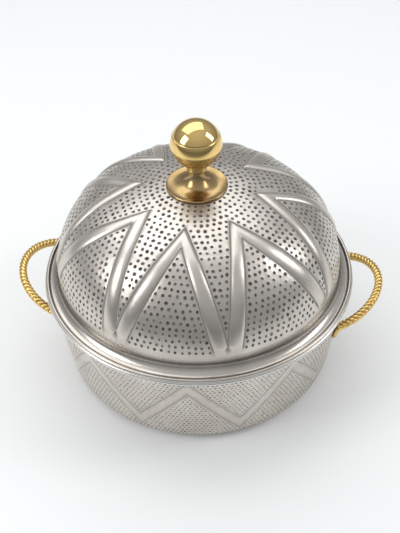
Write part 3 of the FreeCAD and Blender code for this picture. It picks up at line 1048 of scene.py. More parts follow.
    def pits(self, sheet: ReliefSheet) -> int:
        """Punch the fields.

        Args:
            sheet: The drawing.

        Returns:
            Number of pits.
        """
        generator = random.Random(self.seed)
        count = 0
        for row, run in enumerate(self.rows(generator)):
            pitch = self.pit_pitch * run / self.curve.at(run)[0]
            for start, length in self.stretches(self.open_places(run)):
                span = 2.0 * math.pi * run * length / self.row_steps
                number = max(int(round(span / pitch)), 0)
                if length == self.row_steps:
                    marks = [(mark + 0.5 * (row % 2)) / number for mark in range(number)]
                else:
                    marks = [mark / number for mark in range(number + 1)] if number else [0.5]
                for mark in marks:
                    angle = 2.0 * math.pi * (start + mark * length) / self.row_steps
                    wander = run + generator.uniform(-self.wander_across, self.wander_across)
                    angle += generator.uniform(-self.wander_along, self.wander_along) / run
                    x, y = wander * math.cos(angle), wander * math.sin(angle)
                    size = self.pit_radius * generator.uniform(0.78, 1.12)
                    if not sheet.free(x, y, size + self.pit_gap):
                        continue
                    # Each pit's floor carries painted shade.
                    sheet.pit(x, y, size, self.pit_depth, self.relief(x, y), self.pit_corners,
                              generator.uniform(0.85, 1.0), generator)
                    count += 1
        return count

    def rows(self, generator: random.Random) -> list[float]:
        """Lengths along the dome at which the rows of pits lie.

        Args:
            generator: Source of the small differences between rows.

        Returns:
            The lengths.
        """
        run = self.seat_radius + self.row_start
        rows = []
        while run < self.pattern_end - self.row_stop:
            rows.append(run)
            run += self.row_pitch + generator.uniform(-self.row_wander, self.row_wander)
        return rows

    def open_places(self, run: float) -> list[bool]:
        """Which steps round a row keep clear of the bands.

        Args:
            run: Length along the dome.

        Returns:
            A flag for each step round the circle.
        """
        keep = self.pit_radius + self.groove_half + self.edge_gap
        found = []
        for step in range(self.row_steps):
            angle = 2.0 * math.pi * step / self.row_steps
            outer, inner = self.edge_distances(run * math.cos(angle), run * math.sin(angle))
            found.append(outer < -keep or inner > keep)
        return found

    @staticmethod
    def stretches(open_now: Sequence[bool]) -> list[tuple[int, int]]:
        """Runs of True round a circle.

        Args:
            open_now: Flags round the circle.

        Returns:
            Start and length of each run.
        """
        total = len(open_now)
        if all(open_now):
            return [(0, total)]
        first = next(index for index in range(total) if not open_now[index])
        found = []
        start = None
        for step in range(first, first + total + 1):
            here = open_now[step % total]
            if here and start is None:
                start = step
            if not here and start is not None:
                found.append((start, step - 1 - start))
                start = None
        return found

    def ground(self, sheet: ReliefSheet) -> None:
        """Fill the rest of the drawing with evenly spread points and close its edge.

        Args:
            sheet: The drawing.
        """
        ring = []
        for step in range(self.boundary_steps):
            angle = 2.0 * math.pi * step / self.boundary_steps
            ring.append((self.sheet_end * math.cos(angle), self.sheet_end * math.sin(angle), 0.0, 0.0))
        sheet.chain(ring, closed=True)
        rows = int(2.0 * self.sheet_end / (self.grid * 0.866))
        for row in range(-rows // 2, rows // 2 + 1):
            y = row * self.grid * 0.866
            for column in range(-rows // 2, rows // 2 + 1):
                x = (column + 0.5 * (row % 2)) * self.grid
                if math.hypot(x, y) < self.sheet_end - self.grid * 0.5 and sheet.free(x, y, self.line_gap):
                    sheet.add(x, y, self.relief(x, y))

    def wall(self, x: float, y: float, height: float) -> Vector:
        """Real point of a drawing point.

        Args:
            x: First drawing coordinate.
            y: Second drawing coordinate.
            height: Height over the dome.

        Returns:
            The point in millimetres.
        """
        run = math.hypot(x, y)
        angle = math.atan2(y, x)
        radius, level, lean = self.curve.at(run)
        radius += height * math.sin(lean)
        level += height * math.cos(lean)
        if run < self.seat_radius + 4.0:
            seat = self.curve.at(self.curve.run_to(self.seat_radius))[1]
            level = min(level, seat - 0.02)
        return polar(radius, angle, level)

    def rim_outline(self) -> list[Point]:
        """Outline from the end of the drawing round the rim and back up inside the dome.

        Returns:
            (radius, height) points, from the inside to the drawing's end.
        """
        flange_top = self.rim_height + self.flange
        cove_end = self.curve.radius + self.cove
        half = (self.bead_radius - self.crease_radius) / 2.0
        inner = self.cove + self.sheet
        cove_top = flange_top + self.cove
        hem_top = self.rim_height + self.sheet
        meet = math.degrees(math.asin((cove_top - hem_top) / inner))
        start = self.curve.at(self.sheet_end)
        path = [(start[0], start[1])]
        path += [(self.curve.radius, cove_top)]
        path += arc((cove_end, cove_top), self.cove, 180.0, 270.0, 14)[1:]
        path += [(self.crease_radius - 0.5, flange_top), (self.crease_radius - 0.15, flange_top - 0.1),
                 (self.crease_radius, flange_top - 0.12)]
        path += arc((self.crease_radius + half, flange_top), half, 180.0, 0.0, 12)[1:]
        path += [(self.bead_radius, self.rim_height + self.bead_round)]
        path += arc((self.bead_radius - self.bead_round, self.rim_height + self.bead_round),
                    self.bead_round, 0.0, -90.0, 4)[1:]
        path += [(self.hem_radius, self.rim_height), (self.hem_radius, hem_top)]
        path += arc((cove_end, cove_top), inner, 180.0 + meet, 180.0, 10)
        path += list(reversed(self.curve.outline(24, self.sheet + self.field_depth + self.pit_depth)))
        return list(reversed(path))

    def build(self) -> None:
        """Build the lid's pieces."""
        sheet = ReliefSheet()
        self.outlines(sheet)
        count = self.pits(sheet)
        self.ground(sheet)
        dome = sheet.wrap("lid_dome_relief", self.wall)
        LOG.info("lid: %d pits, %d points", count, len(sheet.places))
        # The skirt carries painted shade in the crease inside the bead and a painted shadow under the rim.
        skirt = turned("lid_dome_rim", self.rim_outline(), self.boundary_steps, closed=False,
                       darkening=self.rim_soot)
        dress(dome, self.finishes.hammered)
        dress(skirt, self.finishes.rim)
        whole = welded("hammered_lid", [dome, skirt])
        settle(whole, None, "lid", "hammered_steel", "lid_outer_dome")
        cover = self.inner_cover()
        settle(cover, self.finishes.food, "lid", "food_steel", "lid_inner_cover")
        dress(frame["nodes"]["lid_insulation"], self.finishes.foam)

    def rim_soot(self, radius: float, height: float) -> float:
        """Painted shade in the crease inside the bead and a painted shadow under the rim."""
        in_crease = abs(radius - self.crease_radius) < 0.6 and height > self.rim_height + 0.5
        return 0.85 if in_crease or height < self.rim_height + 0.1 else 0.0

    def inner_cover(self) -> bpy.types.Object:
        """Dished cover whose skirt drops into the bowl.

        Returns:
            The cover.
        """
        _, high = box_mm("lid_inner_cover")
        skirt, low, lip, sheet, hem = 103.9, self.rim_height - 6.0, 3.0, 0.7, 115.8
        curve = DomeCurve(skirt - 2.0 * lip, 84.0, 62.0, high.z - sheet)
        hem_top = self.rim_height + self.sheet
        lip_z = low + lip
        path = curve.outline(40)
        path += arc((skirt - lip, lip_z), lip, 180.0, 360.0, 16)
        path += [(skirt, hem_top), (hem, hem_top), (hem, hem_top + sheet),
                 (skirt - sheet, hem_top + sheet)]
        path += arc((skirt - lip, lip_z), lip - sheet, 360.0, 180.0, 12)
        path += list(reversed(curve.outline(40, -sheet)))
        return turned("inner_cover", path, 160)


@dataclass
class Bowl:
    """Hammered wall with a smooth zigzag band, its base, and the inner pan with the rolled rim."""

    finishes: Finishes
    base_radius: float = 110.6
    slope: float = math.radians(7.52)
    corner: float = 13.6
    sheet: float = 0.9
    recess_radius: float = 84.0
    recess: float = 1.5
    plug_radius: float = 7.0
    rim_height: float = 85.0
    pan_sheet: float = 0.8
    periods: int = 9
    first_peak: float = -89.0
    valley_low: float = 12.6
    valley_high: float = 27.0
    peak_low: float = 66.0
    peak_high: float = 80.4
    field_low: float = 9.5
    field_high: float = 80.6
    sheet_low: float = 4.0
    pit_pitch: float = 3.35
    row_pitch: float = 3.1
    pit_radius: float = 0.74
    pit_depth: float = 0.26
    pit_corners: int = 6
    pit_collar: float = 0.22
    pit_gap: float = 0.35
    edge_gap: float = 0.55
    wander_along: float = 0.35
    wander_across: float = 0.3
    groove_depth: float = 0.16
    groove_half: float = 0.36
    band_rise: float = 0.12
    grid: float = 3.4
    seed: int = 23

    @property
    def tangent(self) -> float:
        """Distance from the sharp corner to where its rounding starts."""
        return self.corner / math.tan((math.pi / 2.0 + self.slope) / 2.0)

    @property
    def corner_radius(self) -> float:
        """Radius of the ring on which the base's rounding is centred."""
        return self.base_radius - self.tangent

    @property
    def corner_length(self) -> float:
        """Length of the rounding's outline."""
        return self.corner * (math.pi / 2.0 - self.slope)

    @property
    def unroll(self) -> float:
        """Radius at which the drawing's width is true."""
        return self.base_radius + 40.0 * math.tan(self.slope)

    def run_to(self, height: float) -> float:
        """Length along the wall from the base's flat ring to a height.

        Args:
            height: Height over the base.

        Returns:
            The length.
        """
        wall_start = self.corner * (1.0 - math.sin(self.slope))
        if height < wall_start:
            return self.corner * math.acos(1.0 - height / self.corner)
        return self.corner_length + (height - wall_start) / math.cos(self.slope)

    def at(self, run: float) -> tuple[float, float, float]:
        """Where a length along the wall leads.

        Args:
            run: Length from the base's flat ring.

        Returns:
            Radius, height, and the normal's angle below the horizontal.
        """
        if run < self.corner_length:
            turn = run / self.corner
            return (self.corner_radius + self.corner * math.sin(turn),
                    self.corner * (1.0 - math.cos(turn)), math.pi / 2.0 - turn)
        rest = run - self.corner_length
        return (self.corner_radius + self.corner * math.cos(self.slope) + rest * math.sin(self.slope),
                self.corner * (1.0 - math.sin(self.slope)) + rest * math.cos(self.slope), self.slope)

    def wall(self, x: float, y: float, height: float) -> Vector:
        """Real point of a drawing point.

        Args:
            x: Distance round the wall.
            y: Distance up the wall.
            height: Height over the wall.

        Returns:
            The point in millimetres.
        """
        radius, level, lean = self.at(y)
        angle = x / self.unroll
        radius += height * math.cos(lean)
        level -= height * math.sin(lean)
        return polar(radius, angle, level)

    def zigzag(self, x: float) -> float:
        """Share of the way from valley to peak at a place round the wall.

        Args:
            x: Distance round the wall.

        Returns:
            0 at a valley, 1 at a peak.
        """
        period = 2.0 * math.pi * self.unroll / self.periods
        peak = math.radians(self.first_peak) * self.unroll
        share = ((x - peak) / period) % 1.0
        return abs(2.0 * share - 1.0)

    def edge_distances(self, x: float, y: float) -> tuple[float, float]:
        """Distances above the lower outline and below the upper one.

        Args:
            x: Distance round the wall.
            y: Distance up the wall.

        Returns:
            The two distances.
        """
        share = self.zigzag(x)
        low = self.run_to(self.valley_low) * (1.0 - share) + self.run_to(self.peak_low) * share
        high = self.run_to(self.valley_high) * (1.0 - share) + self.run_to(self.peak_high) * share
        half = math.pi * self.unroll / self.periods
        rise = self.run_to(self.peak_low) - self.run_to(self.valley_low)
        lean = half / math.hypot(half, rise)
        return (y - low) * lean, (high - y) * lean

    def relief(self, x: float, y: float) -> float:
        """Height of the band over the fields.

        Args:
            x: Distance round the wall.
            y: Distance up the wall.

        Returns:
            The height.
        """
        above, below = self.edge_distances(x, y)
        inside = min(above, below)
        return self.band_rise * smooth(0.0, 1.2, inside)

    def outlines(self, sheet: ReliefSheet) -> None:
        """Draw the engraved lines along the band.

        Args:
            sheet: The drawing.
        """
        half = math.pi * self.unroll / self.periods
        edge = math.pi * self.unroll
        peak = math.radians(self.first_peak) * self.unroll
        for ends in ((self.valley_low, self.peak_low), (self.valley_high, self.peak_high)):
            low, high = self.run_to(ends[0]), self.run_to(ends[1])
            lean = math.hypot(half, high - low) / half
            steps = 24
            for shift, depth, dark in ((-self.groove_half, 0.0, 0.35), (0.0, 1.0, 1.0),
                                       (self.groove_half, 0.0, 0.35)):
                numbers = []
                first = int(math.ceil((-edge - peak) / half * steps))
                last = int(math.floor((edge - peak) / half * steps))
                marks = [peak + mark * half / steps for mark in range(first, last + 1)]
                marks = [-edge] + [mark for mark in marks if abs(mark) < edge - 0.4] + [edge]
                for mark in marks:
                    share = self.zigzag(mark)
                    y = low + (high - low) * share + shift * lean
                    height = self.band_rise * 0.3 - self.groove_depth * depth
                    # Painted shade along the engraved lines, strongest on the middle one.
                    numbers.append((mark, y, height, 0.75 * dark))
                sheet.chain(numbers)

    def pits(self, sheet: ReliefSheet) -> int:
        """Punch the fields above and below the band.

        Args:
            sheet: The drawing.

        Returns:
            Number of pits.
        """
        generator = random.Random(self.seed)
        count = 0
        edge = math.pi * self.unroll
        low, high = self.run_to(self.field_low), self.run_to(self.field_high)
        rows = int((high - low) / self.row_pitch)
        keep = self.pit_radius + self.groove_half + self.edge_gap
        for row in range(rows + 1):
            y = low + row * self.row_pitch
            number = int(2.0 * edge / self.pit_pitch)
            for mark in range(number):
                x = -edge + (mark + 0.25 + 0.5 * (row % 2)) * 2.0 * edge / number
                x += generator.uniform(-self.wander_along, self.wander_along)
                up = y + generator.uniform(-self.wander_across, self.wander_across)
                above, below = self.edge_distances(x, up)
                if min(above, below) > -keep or abs(x) > edge - 1.2:
                    continue
                size = self.pit_radius * generator.uniform(0.75, 1.2)
                if not sheet.free(x, up, size + self.pit_gap):
                    continue
                # Painted shade in each pit's floor, full in the two lowest rows.
                strong = 1.0 if row < 2 else generator.uniform(0.7, 1.0)
                sheet.pit(x, up, size, self.pit_depth, 0.0, self.pit_corners, strong, generator,
                          self.pit_collar)
                count += 1
        return count

    def ground(self, sheet: ReliefSheet) -> None:
        """Fill the rest of the drawing and close its borders.

        Args:
            sheet: The drawing.
        """
        edge = math.pi * self.unroll
        low, high = self.run_to(self.sheet_low), self.run_to(self.rim_height - self.pan_sheet)
        columns = 240
        rows = int((high - low) / self.grid)
        for column in range(columns + 1):
            x = -edge + 2.0 * edge * column / columns
            for y in (low, high):
                sheet.add(x, y, 0.0)
        for row in range(1, rows):
            y = low + (high - low) * row / rows
            for side in (-edge, edge):
                if sheet.free(side, y, 0.8):
                    sheet.add(side, y, self.relief(side, y))
            for column in range(1, columns):
                x = -edge + 2.0 * edge * (column + 0.5 * (row % 2)) / columns
                if abs(x) < edge - 1.0 and sheet.free(x, y, 0.95):
                    sheet.add(x, y, self.relief(x, y))

    def base_outline(self) -> list[Point]:
        """Outline from the drawing's lower edge under the base and up inside the wall.

        Returns:
            (radius, height) points.
        """
        start = self.at(self.run_to(self.sheet_low))
        steps = 8
        turn = self.run_to(self.sheet_low) / self.corner
        path = [(start[0], start[1])]
        for step in range(1, steps + 1):
            angle = turn * (1.0 - step / steps)
            path.append((self.corner_radius + self.corner * math.sin(angle),
                         self.corner * (1.0 - math.cos(angle))))
        path += [(self.recess_radius + self.recess, 0.0), (self.recess_radius, self.recess),
                 (self.plug_radius, self.recess), (self.plug_radius, self.recess + self.sheet),
                 (self.recess_radius, self.recess + self.sheet),
                 (self.recess_radius + self.recess, self.sheet)]
        inner = self.corner - self.sheet
        path += arc((self.corner_radius, self.corner), inner, -90.0, -math.degrees(self.slope), 10)
        top = self.at(self.run_to(self.rim_height - self.pan_sheet))
        path += [(top[0] - self.sheet, top[1]), (top[0], top[1])]
        return path

    def build(self) -> None:
        """Build the bowl's pieces."""
        sheet = ReliefSheet(1.2)
        self.outlines(sheet)
        count = self.pits(sheet)
        self.ground(sheet)
        wall = sheet.wrap("bowl_wall_relief", self.wall)
        LOG.info("bowl: %d pits, %d points", count, len(sheet.places))
        under = turned("bowl_base", list(reversed(self.base_outline())), 240, closed=False)
        dress(wall, self.finishes.hammered)
        dress(under, self.finishes.rim)
        whole = welded("hammered_bowl", [wall, under])
        settle(whole, None, "bowl", "hammered_steel", "bowl_outer_shell")
        pan = self.pan()
        settle(pan, self.finishes.food, "bowl", "food_steel", "bowl_inner_pan")
        nodes = frame["nodes"]
        dress(nodes["bowl_insulation"], self.finishes.foam)
        dress(nodes["bowl_fill_plug"], self.finishes.plug)

    def pan(self) -> bpy.types.Object:
        """Inner pan with its flange and the bead that is curled down round the wall.

        Returns:
            The pan.
        """
        radius, floor, corner, slope, mouth = 105.0, 13.0, 14.0, math.radians(1.5), 2.0
        bead_radius, bead_depth, bead_round = 125.0, 3.1, 1.5
        sheet, top = self.pan_sheet, self.rim_height
        inner = radius - (top - floor) * math.tan(slope)
        ring = inner - corner / math.tan((math.pi / 2.0 + slope) / 2.0)
        lean = math.degrees(slope)
        under = top - sheet
        curl = self.base_radius + under * math.tan(self.slope) + 0.05
        mouth_z = top - mouth * (1.0 - math.sin(slope))
        mouth_r = radius - (top - mouth_z) * math.tan(slope)
        path = [(0.0, floor - sheet)]
        path += arc((ring, floor + corner), corner + sheet, -90.0, -lean, 12)
        path += [(radius - (top - under) * math.tan(slope) + sheet, under), (curl, under),
                 (curl, top - bead_depth)]
        path += arc((bead_radius - bead_round, top - bead_depth + bead_round), bead_round, -90.0, 0.0, 6)
        path += arc((bead_radius - bead_round, top - bead_round), bead_round, 0.0, 90.0, 6)
        path += arc((mouth_r + mouth, mouth_z), mouth, 90.0, 180.0, 6)
        path += arc((ring, floor + corner), corner, -lean, -90.0, 12)
        path += [(0.0, floor)]
        return turned("inner_pan", path, 200)


class GeometryTree:
    """A geometry tree that is put together node by node."""

    def __init__(self, name: str, inputs: dict[str, str]) -> None:
        """Start a tree that takes and gives geometry.

        Args:
            name: Name of the tree.
            inputs: Kind of each further input by its name.
        """
        self.tree = bpy.data.node_groups.new(name, "GeometryNodeTree")
        for label, kind in ({"Geometry": "Geometry"} | inputs).items():
            self.tree.interface.new_socket(label, in_out="INPUT", socket_type="NodeSocket" + kind)
        self.tree.interface.new_socket("Geometry", in_out="OUTPUT", socket_type="NodeSocketGeometry")
        self.start, self.end = self.add("NodeGroupInput"), self.add("NodeGroupOutput")

    def add(self, kind: str, **inputs) -> bpy.types.Node:
        """Add a node.

        Args:
            kind: Type of the node.
            **inputs: Values for its inputs, with _ for a space.

        Returns:
            The new node.
        """
        node = self.tree.nodes.new(kind)
        for key, value in inputs.items():
            node.inputs[key.replace("_", " ")].default_value = value
        return node

    def join(self, *links: tuple) -> None:
        """Join sockets, each given as node, output, node, input."""
        for source, output, target, name in links:
            self.tree.links.new(source.outputs[output], target.inputs[name])


def rope_tree(strand: bpy.types.Object, material: bpy.types.Material) -> bpy.types.NodeTree:
    """Geometry tree that lays slanted strands along a rod.

    Args:
        strand: The strand to repeat.
        material: Material of the strands.

    Returns:
        The tree.
    """
    tree = GeometryTree("rope_strands", {"Strand pitch": "Float", "Top side": "Vector"})
    curve = tree.add("GeometryNodeMeshToCurve")
    even = tree.add("GeometryNodeResampleCurve")
    even.mode = "LENGTH"
    tangent = tree.add("GeometryNodeInputTangent")
    axes = tree.add("FunctionNodeAxesToRotation")
    axes.primary_axis = "Z"
    axes.secondary_axis = "X"
    source = tree.add("GeometryNodeObjectInfo", Object=strand)
    place = tree.add("GeometryNodeInstanceOnPoints")
    real = tree.add("GeometryNodeRealizeInstances")
    paint = tree.add("GeometryNodeSetMaterial", Material=material)
    tree.join(
        (tree.start, "Geometry", curve, "Mesh"), (curve, "Curve", even, "Curve"),
        (tree.start, "Strand pitch", even, "Length"), (even, "Curve", place, "Points"),
        (source, "Geometry", place, "Instance"), (tree.start, "Top side", axes, "Primary Axis"),
        (tangent, "Tangent", axes, "Secondary Axis"), (axes, "Rotation", place, "Rotation"),
        (place, "Instances", real, "Geometry"), (real, "Geometry", paint, "Geometry"),
        (paint, "Geometry", tree.end, "Geometry"))
    return tree.tree


def grown(name: str, source: bpy.types.Object, tree: bpy.types.NodeTree,
          values: dict[str, object]) -> bpy.types.Object:
    """Run a geometry tree on an object and keep its result as a plain mesh.

    Args:
        name: Name of the result.
        source: Object to run it on; it is removed afterwards.
        tree: The tree; it is removed afterwards.
        values: Input values by the input's name.

    Returns:
        The new object.
    """
    modifier = source.modifiers.new(tree.name, "NODES")
    modifier.node_group = tree
    for item in tree.interface.items_tree:
        if item.in_out == "INPUT" and item.name in values:
            modifier[item.identifier] = values[item.name]
    bpy.context.view_layer.update()
    ready = source.evaluated_get(bpy.context.evaluated_depsgraph_get())
    mesh = bpy.data.meshes.new_from_object(ready)
    mesh.name = name
    source.modifiers.remove(modifier)
    bpy.data.objects.remove(source)
    bpy.data.node_groups.remove(tree)
    return placed(name, mesh)


@dataclass
class Handle:
    """Rope-twisted brass loop whose two feet lie down along the bowl's wall."""

    finishes: Finishes
    side: Side
    chord: float = 114.3
    height: float = 65.5
    half_width: float = 41.2
    reach: float = 34.8
    corner: float = 12.0
    tilt: float = math.radians(24.0)
    rod: float = 3.1
    strand: float = 1.3
    strand_sink: float = 0.35
    wrap: float = 88.0
    wrap_turn: float = 22.0
    lay: float = 8.4
    foot: float = 3.1
    foot_flat: float = 0.68
    foot_length: float = 13.0
    strand_pitch: float = 3.7
    wall_slope: float = math.radians(7.52)
    steps: int = 84

    def flat_path(self) -> list[tuple[float, float, float, float]]:
        """Loop in its own plane.

        Returns:
            Out, across, and the direction of travel at each step.
        """
        top = (self.half_width ** 2 - 2.0 * self.half_width * self.corner + self.reach ** 2) \
            / (2.0 * (self.reach - self.corner))
        turn = math.atan2(self.half_width - self.corner, top - self.reach)
        corner_length = self.corner * (math.pi / 2.0 - turn)
        arc_length = top * turn
        total = 2.0 * (corner_length + arc_length)
        path = []
        for step in range(self.steps + 1):
            run = total * step / self.steps - total / 2.0
            side = 1.0 if run >= 0.0 else -1.0
            run = abs(run)
            if run <= arc_length:
                angle = run / top
                centre = (self.reach - top, 0.0)
                radius = top
            else:
                angle = turn + (run - arc_length) / self.corner
                centre = (0.0, self.half_width - self.corner)
                radius = self.corner
            path.append((centre[0] + radius * math.cos(angle),
                         side * (centre[1] + radius * math.sin(angle)),
                         -math.sin(angle) * side, math.cos(angle)))
        return path

    def lifted(self, out: float, across: float, up: float) -> Vector:
        """Real point of a point in the loop's plane.

        Args:
            out: Distance out from the chord.
            across: Distance along the chord.
            up: Distance over the plane.

        Returns:
            The point in millimetres, on the right-hand side of the bowl.
        """
        return Vector((self.chord + out * math.cos(self.tilt) - up * math.sin(self.tilt), across,
                       self.height + out * math.sin(self.tilt) + up * math.cos(self.tilt)))

    def direction(self, out: float, across: float, up: float) -> Vector:
        """Real direction of a direction in the loop's plane."""
        return self.lifted(out, across, up) - self.lifted(0.0, 0.0, 0.0)

    def tube(self, name: str, path: Sequence[Vector], radii: Sequence[float], top: Vector,
             corners: int = 20) -> bpy.types.Object:
        """Round bar along a path.

        Args:
            name: Name of the object.
            path: Points along the middle.
            radii: Radius at each point.
            top: Direction that stays on the upper side.
            corners: Points round the bar.

        Returns:
            The bar, closed at both ends.
        """
        rings = []
        for index, centre in enumerate(path):
            before = path[max(index - 1, 0)]
            after = path[min(index + 1, len(path) - 1)]
            along = (after - before).normalized()
            side = along.cross(top).normalized()
            upper = side.cross(along).normalized()
            rings.append(ring_of(centre, side * radii[index], upper * radii[index], corners))
        return lofted(name, rings, 60.0)

    def strand_piece(self) -> bpy.types.Object:
        """One strand: a tapered bar that winds over the upper side of the rod.

        Returns:
            The strand, in the loop's own frame with X along the rod and Z up.
        """
        spans, corners = 14, 8
        path, radii = [], []
        for span in range(spans + 1):
            share = 2.0 * span / spans - 1.0
            angle = math.radians(90.0 + self.wrap_turn + self.wrap * share)
            off = self.rod - self.strand_sink
            path.append(Vector((self.lay * share * 0.5, off * math.cos(angle), off * math.sin(angle))))
            radii.append(self.strand * (1.0 - abs(share) ** 4) ** 0.5 + 0.05)
        rings = []
        for index, centre in enumerate(path):
            before, after = path[max(index - 1, 0)], path[min(index + 1, spans)]
            along = (after - before).normalized()
            outward = Vector((0.0, centre.y, centre.z)).normalized()
            side = along.cross(outward).normalized()
            outward = side.cross(along).normalized()
            rings.append(ring_of(centre, side * radii[index], outward * radii[index] * 0.85, corners))
        return lofted("strand", rings, 80.0)

    def foot_piece(self, end: float) -> bpy.types.Object:
        """Foot: the rod's end turned down and flattened on the wall.

        Args:
            end: 1 for the far end of the chord, -1 for the near one.

        Returns:
            The foot.
        """
        turn = math.atan2(self.half_width * end, self.chord)
        outward = polar(1.0, turn, 0.0)
        down = (-outward * math.sin(self.wall_slope) - Vector((0.0, 0.0, math.cos(self.wall_slope))))
        start = Vector((self.chord, self.half_width * end, self.height))
        entry = Vector((math.cos(self.tilt), 0.0, math.sin(self.tilt)))
        side = down.cross(outward).normalized()
        spans, corners = 22, 20
        rings = []
        for span in range(spans + 1):
            share = span / spans
            bend = smooth(0.0, 0.45, share)
            along = self.foot_length * share
            centre = start + entry * self.rod * 0.6 * (1.0 - bend) + down * along
            centre -= outward * (0.5 + 0.35 * share)
            width = self.foot * (0.92 + 0.12 * math.sin(math.pi * share))
            rest = (1.0 - share) * self.foot_length
            if rest < self.foot:
                width *= math.sqrt(max(1.0 - (1.0 - rest / self.foot) ** 2, 0.0025))
            if share < 0.12:
                width *= math.sqrt(max(1.0 - (1.0 - share / 0.12) ** 2, 0.09))
            depth = width * (1.0 - (1.0 - self.foot_flat) * bend)
            rings.append(ring_of(centre, side * width, outward * depth, corners))
        return lofted("foot", rings, 60.0, flip=True)

    def build(self) -> None:
        """Build the handle as one piece of brass."""
        flat = self.flat_path()
        path = [self.lifted(out, across, 0.0) for out, across, _, _ in flat]
        top = self.direction(0.0, 0.0, 1.0)
        pieces = [self.tube("rod", path, [self.rod] * len(path), top)]
        strand = self.strand_piece()
        line = bpy.data.meshes.new("path")
        line.from_pydata([point * MM for point in path], [(i, i + 1) for i in range(len(path) - 1)], [])
        tree = rope_tree(strand, self.finishes.handle)
        pieces.append(grown("rope", placed("path", line), tree,
                            {"Strand pitch": self.strand_pitch * MM, "Top side": tuple(top)}))
        bpy.data.objects.remove(strand)
        pieces += [self.foot_piece(end) for end in (1.0, -1.0)]
        whole = joined(self.side.name.lower() + "_rope_handle", pieces)
        if self.side is Side.LEFT:
            whole.data.transform(Matrix.Scale(-1.0, 4, Vector((1.0, 0.0, 0.0))))
            whole.data.flip_normals()
        settle(whole, self.finishes.handle, "bowl", "handle_brass", self.side.node)
        for part in ("screws", "backings"):
            dress(frame["nodes"][f"{self.side.node}_{part}"], self.finishes.fastener)


def stipple_tree(material: bpy.types.Material) -> bpy.types.NodeTree:
    """Geometry tree that covers a surface with small raised grains.

    Args:
        material: Material of the whole surface.

    Returns:
        The tree.
    """
    tree = GeometryTree("stipple", {"Grain spacing": "Float", "Grain radius": "Float", "Seed": "Int"})
    spread = tree.add("GeometryNodeDistributePointsOnFaces")
    spread.distribute_method = "POISSON"
    spread.inputs["Density Max"].default_value = 1500000.0
    grain = tree.add("GeometryNodeMeshIcoSphere", Subdivisions=1)
    size = tree.add("FunctionNodeRandomValue")
    size.data_type = "FLOAT"
    size.inputs[2].default_value = 0.7
    size.inputs[3].default_value = 1.15
    place = tree.add("GeometryNodeInstanceOnPoints")
    real = tree.add("GeometryNodeRealizeInstances")
    flat = tree.add("GeometryNodeSetShadeSmooth")
    both = tree.add("GeometryNodeJoinGeometry")
    paint = tree.add("GeometryNodeSetMaterial", Material=material)
    tree.join(
        (tree.start, "Geometry", spread, "Mesh"), (tree.start, "Grain spacing", spread, "Distance Min"),
        (tree.start, "Seed", spread, "Seed"), (tree.start, "Seed", size, "Seed"),
        (tree.start, "Grain radius", grain, "Radius"), (spread, "Points", place, "Points"),
        (grain, "Mesh", place, "Instance"), (spread, "Rotation", place, "Rotation"),
        (size, 1, place, "Scale"), (place, "Instances", real, "Geometry"),
        (real, "Geometry", flat, "Geometry"), (tree.start, "Geometry", both, "Geometry"),
        (flat, "Geometry", both, "Geometry"), (both, "Geometry", paint, "Geometry"),
        (paint, "Geometry", tree.end, "Geometry"))
    return tree.tree


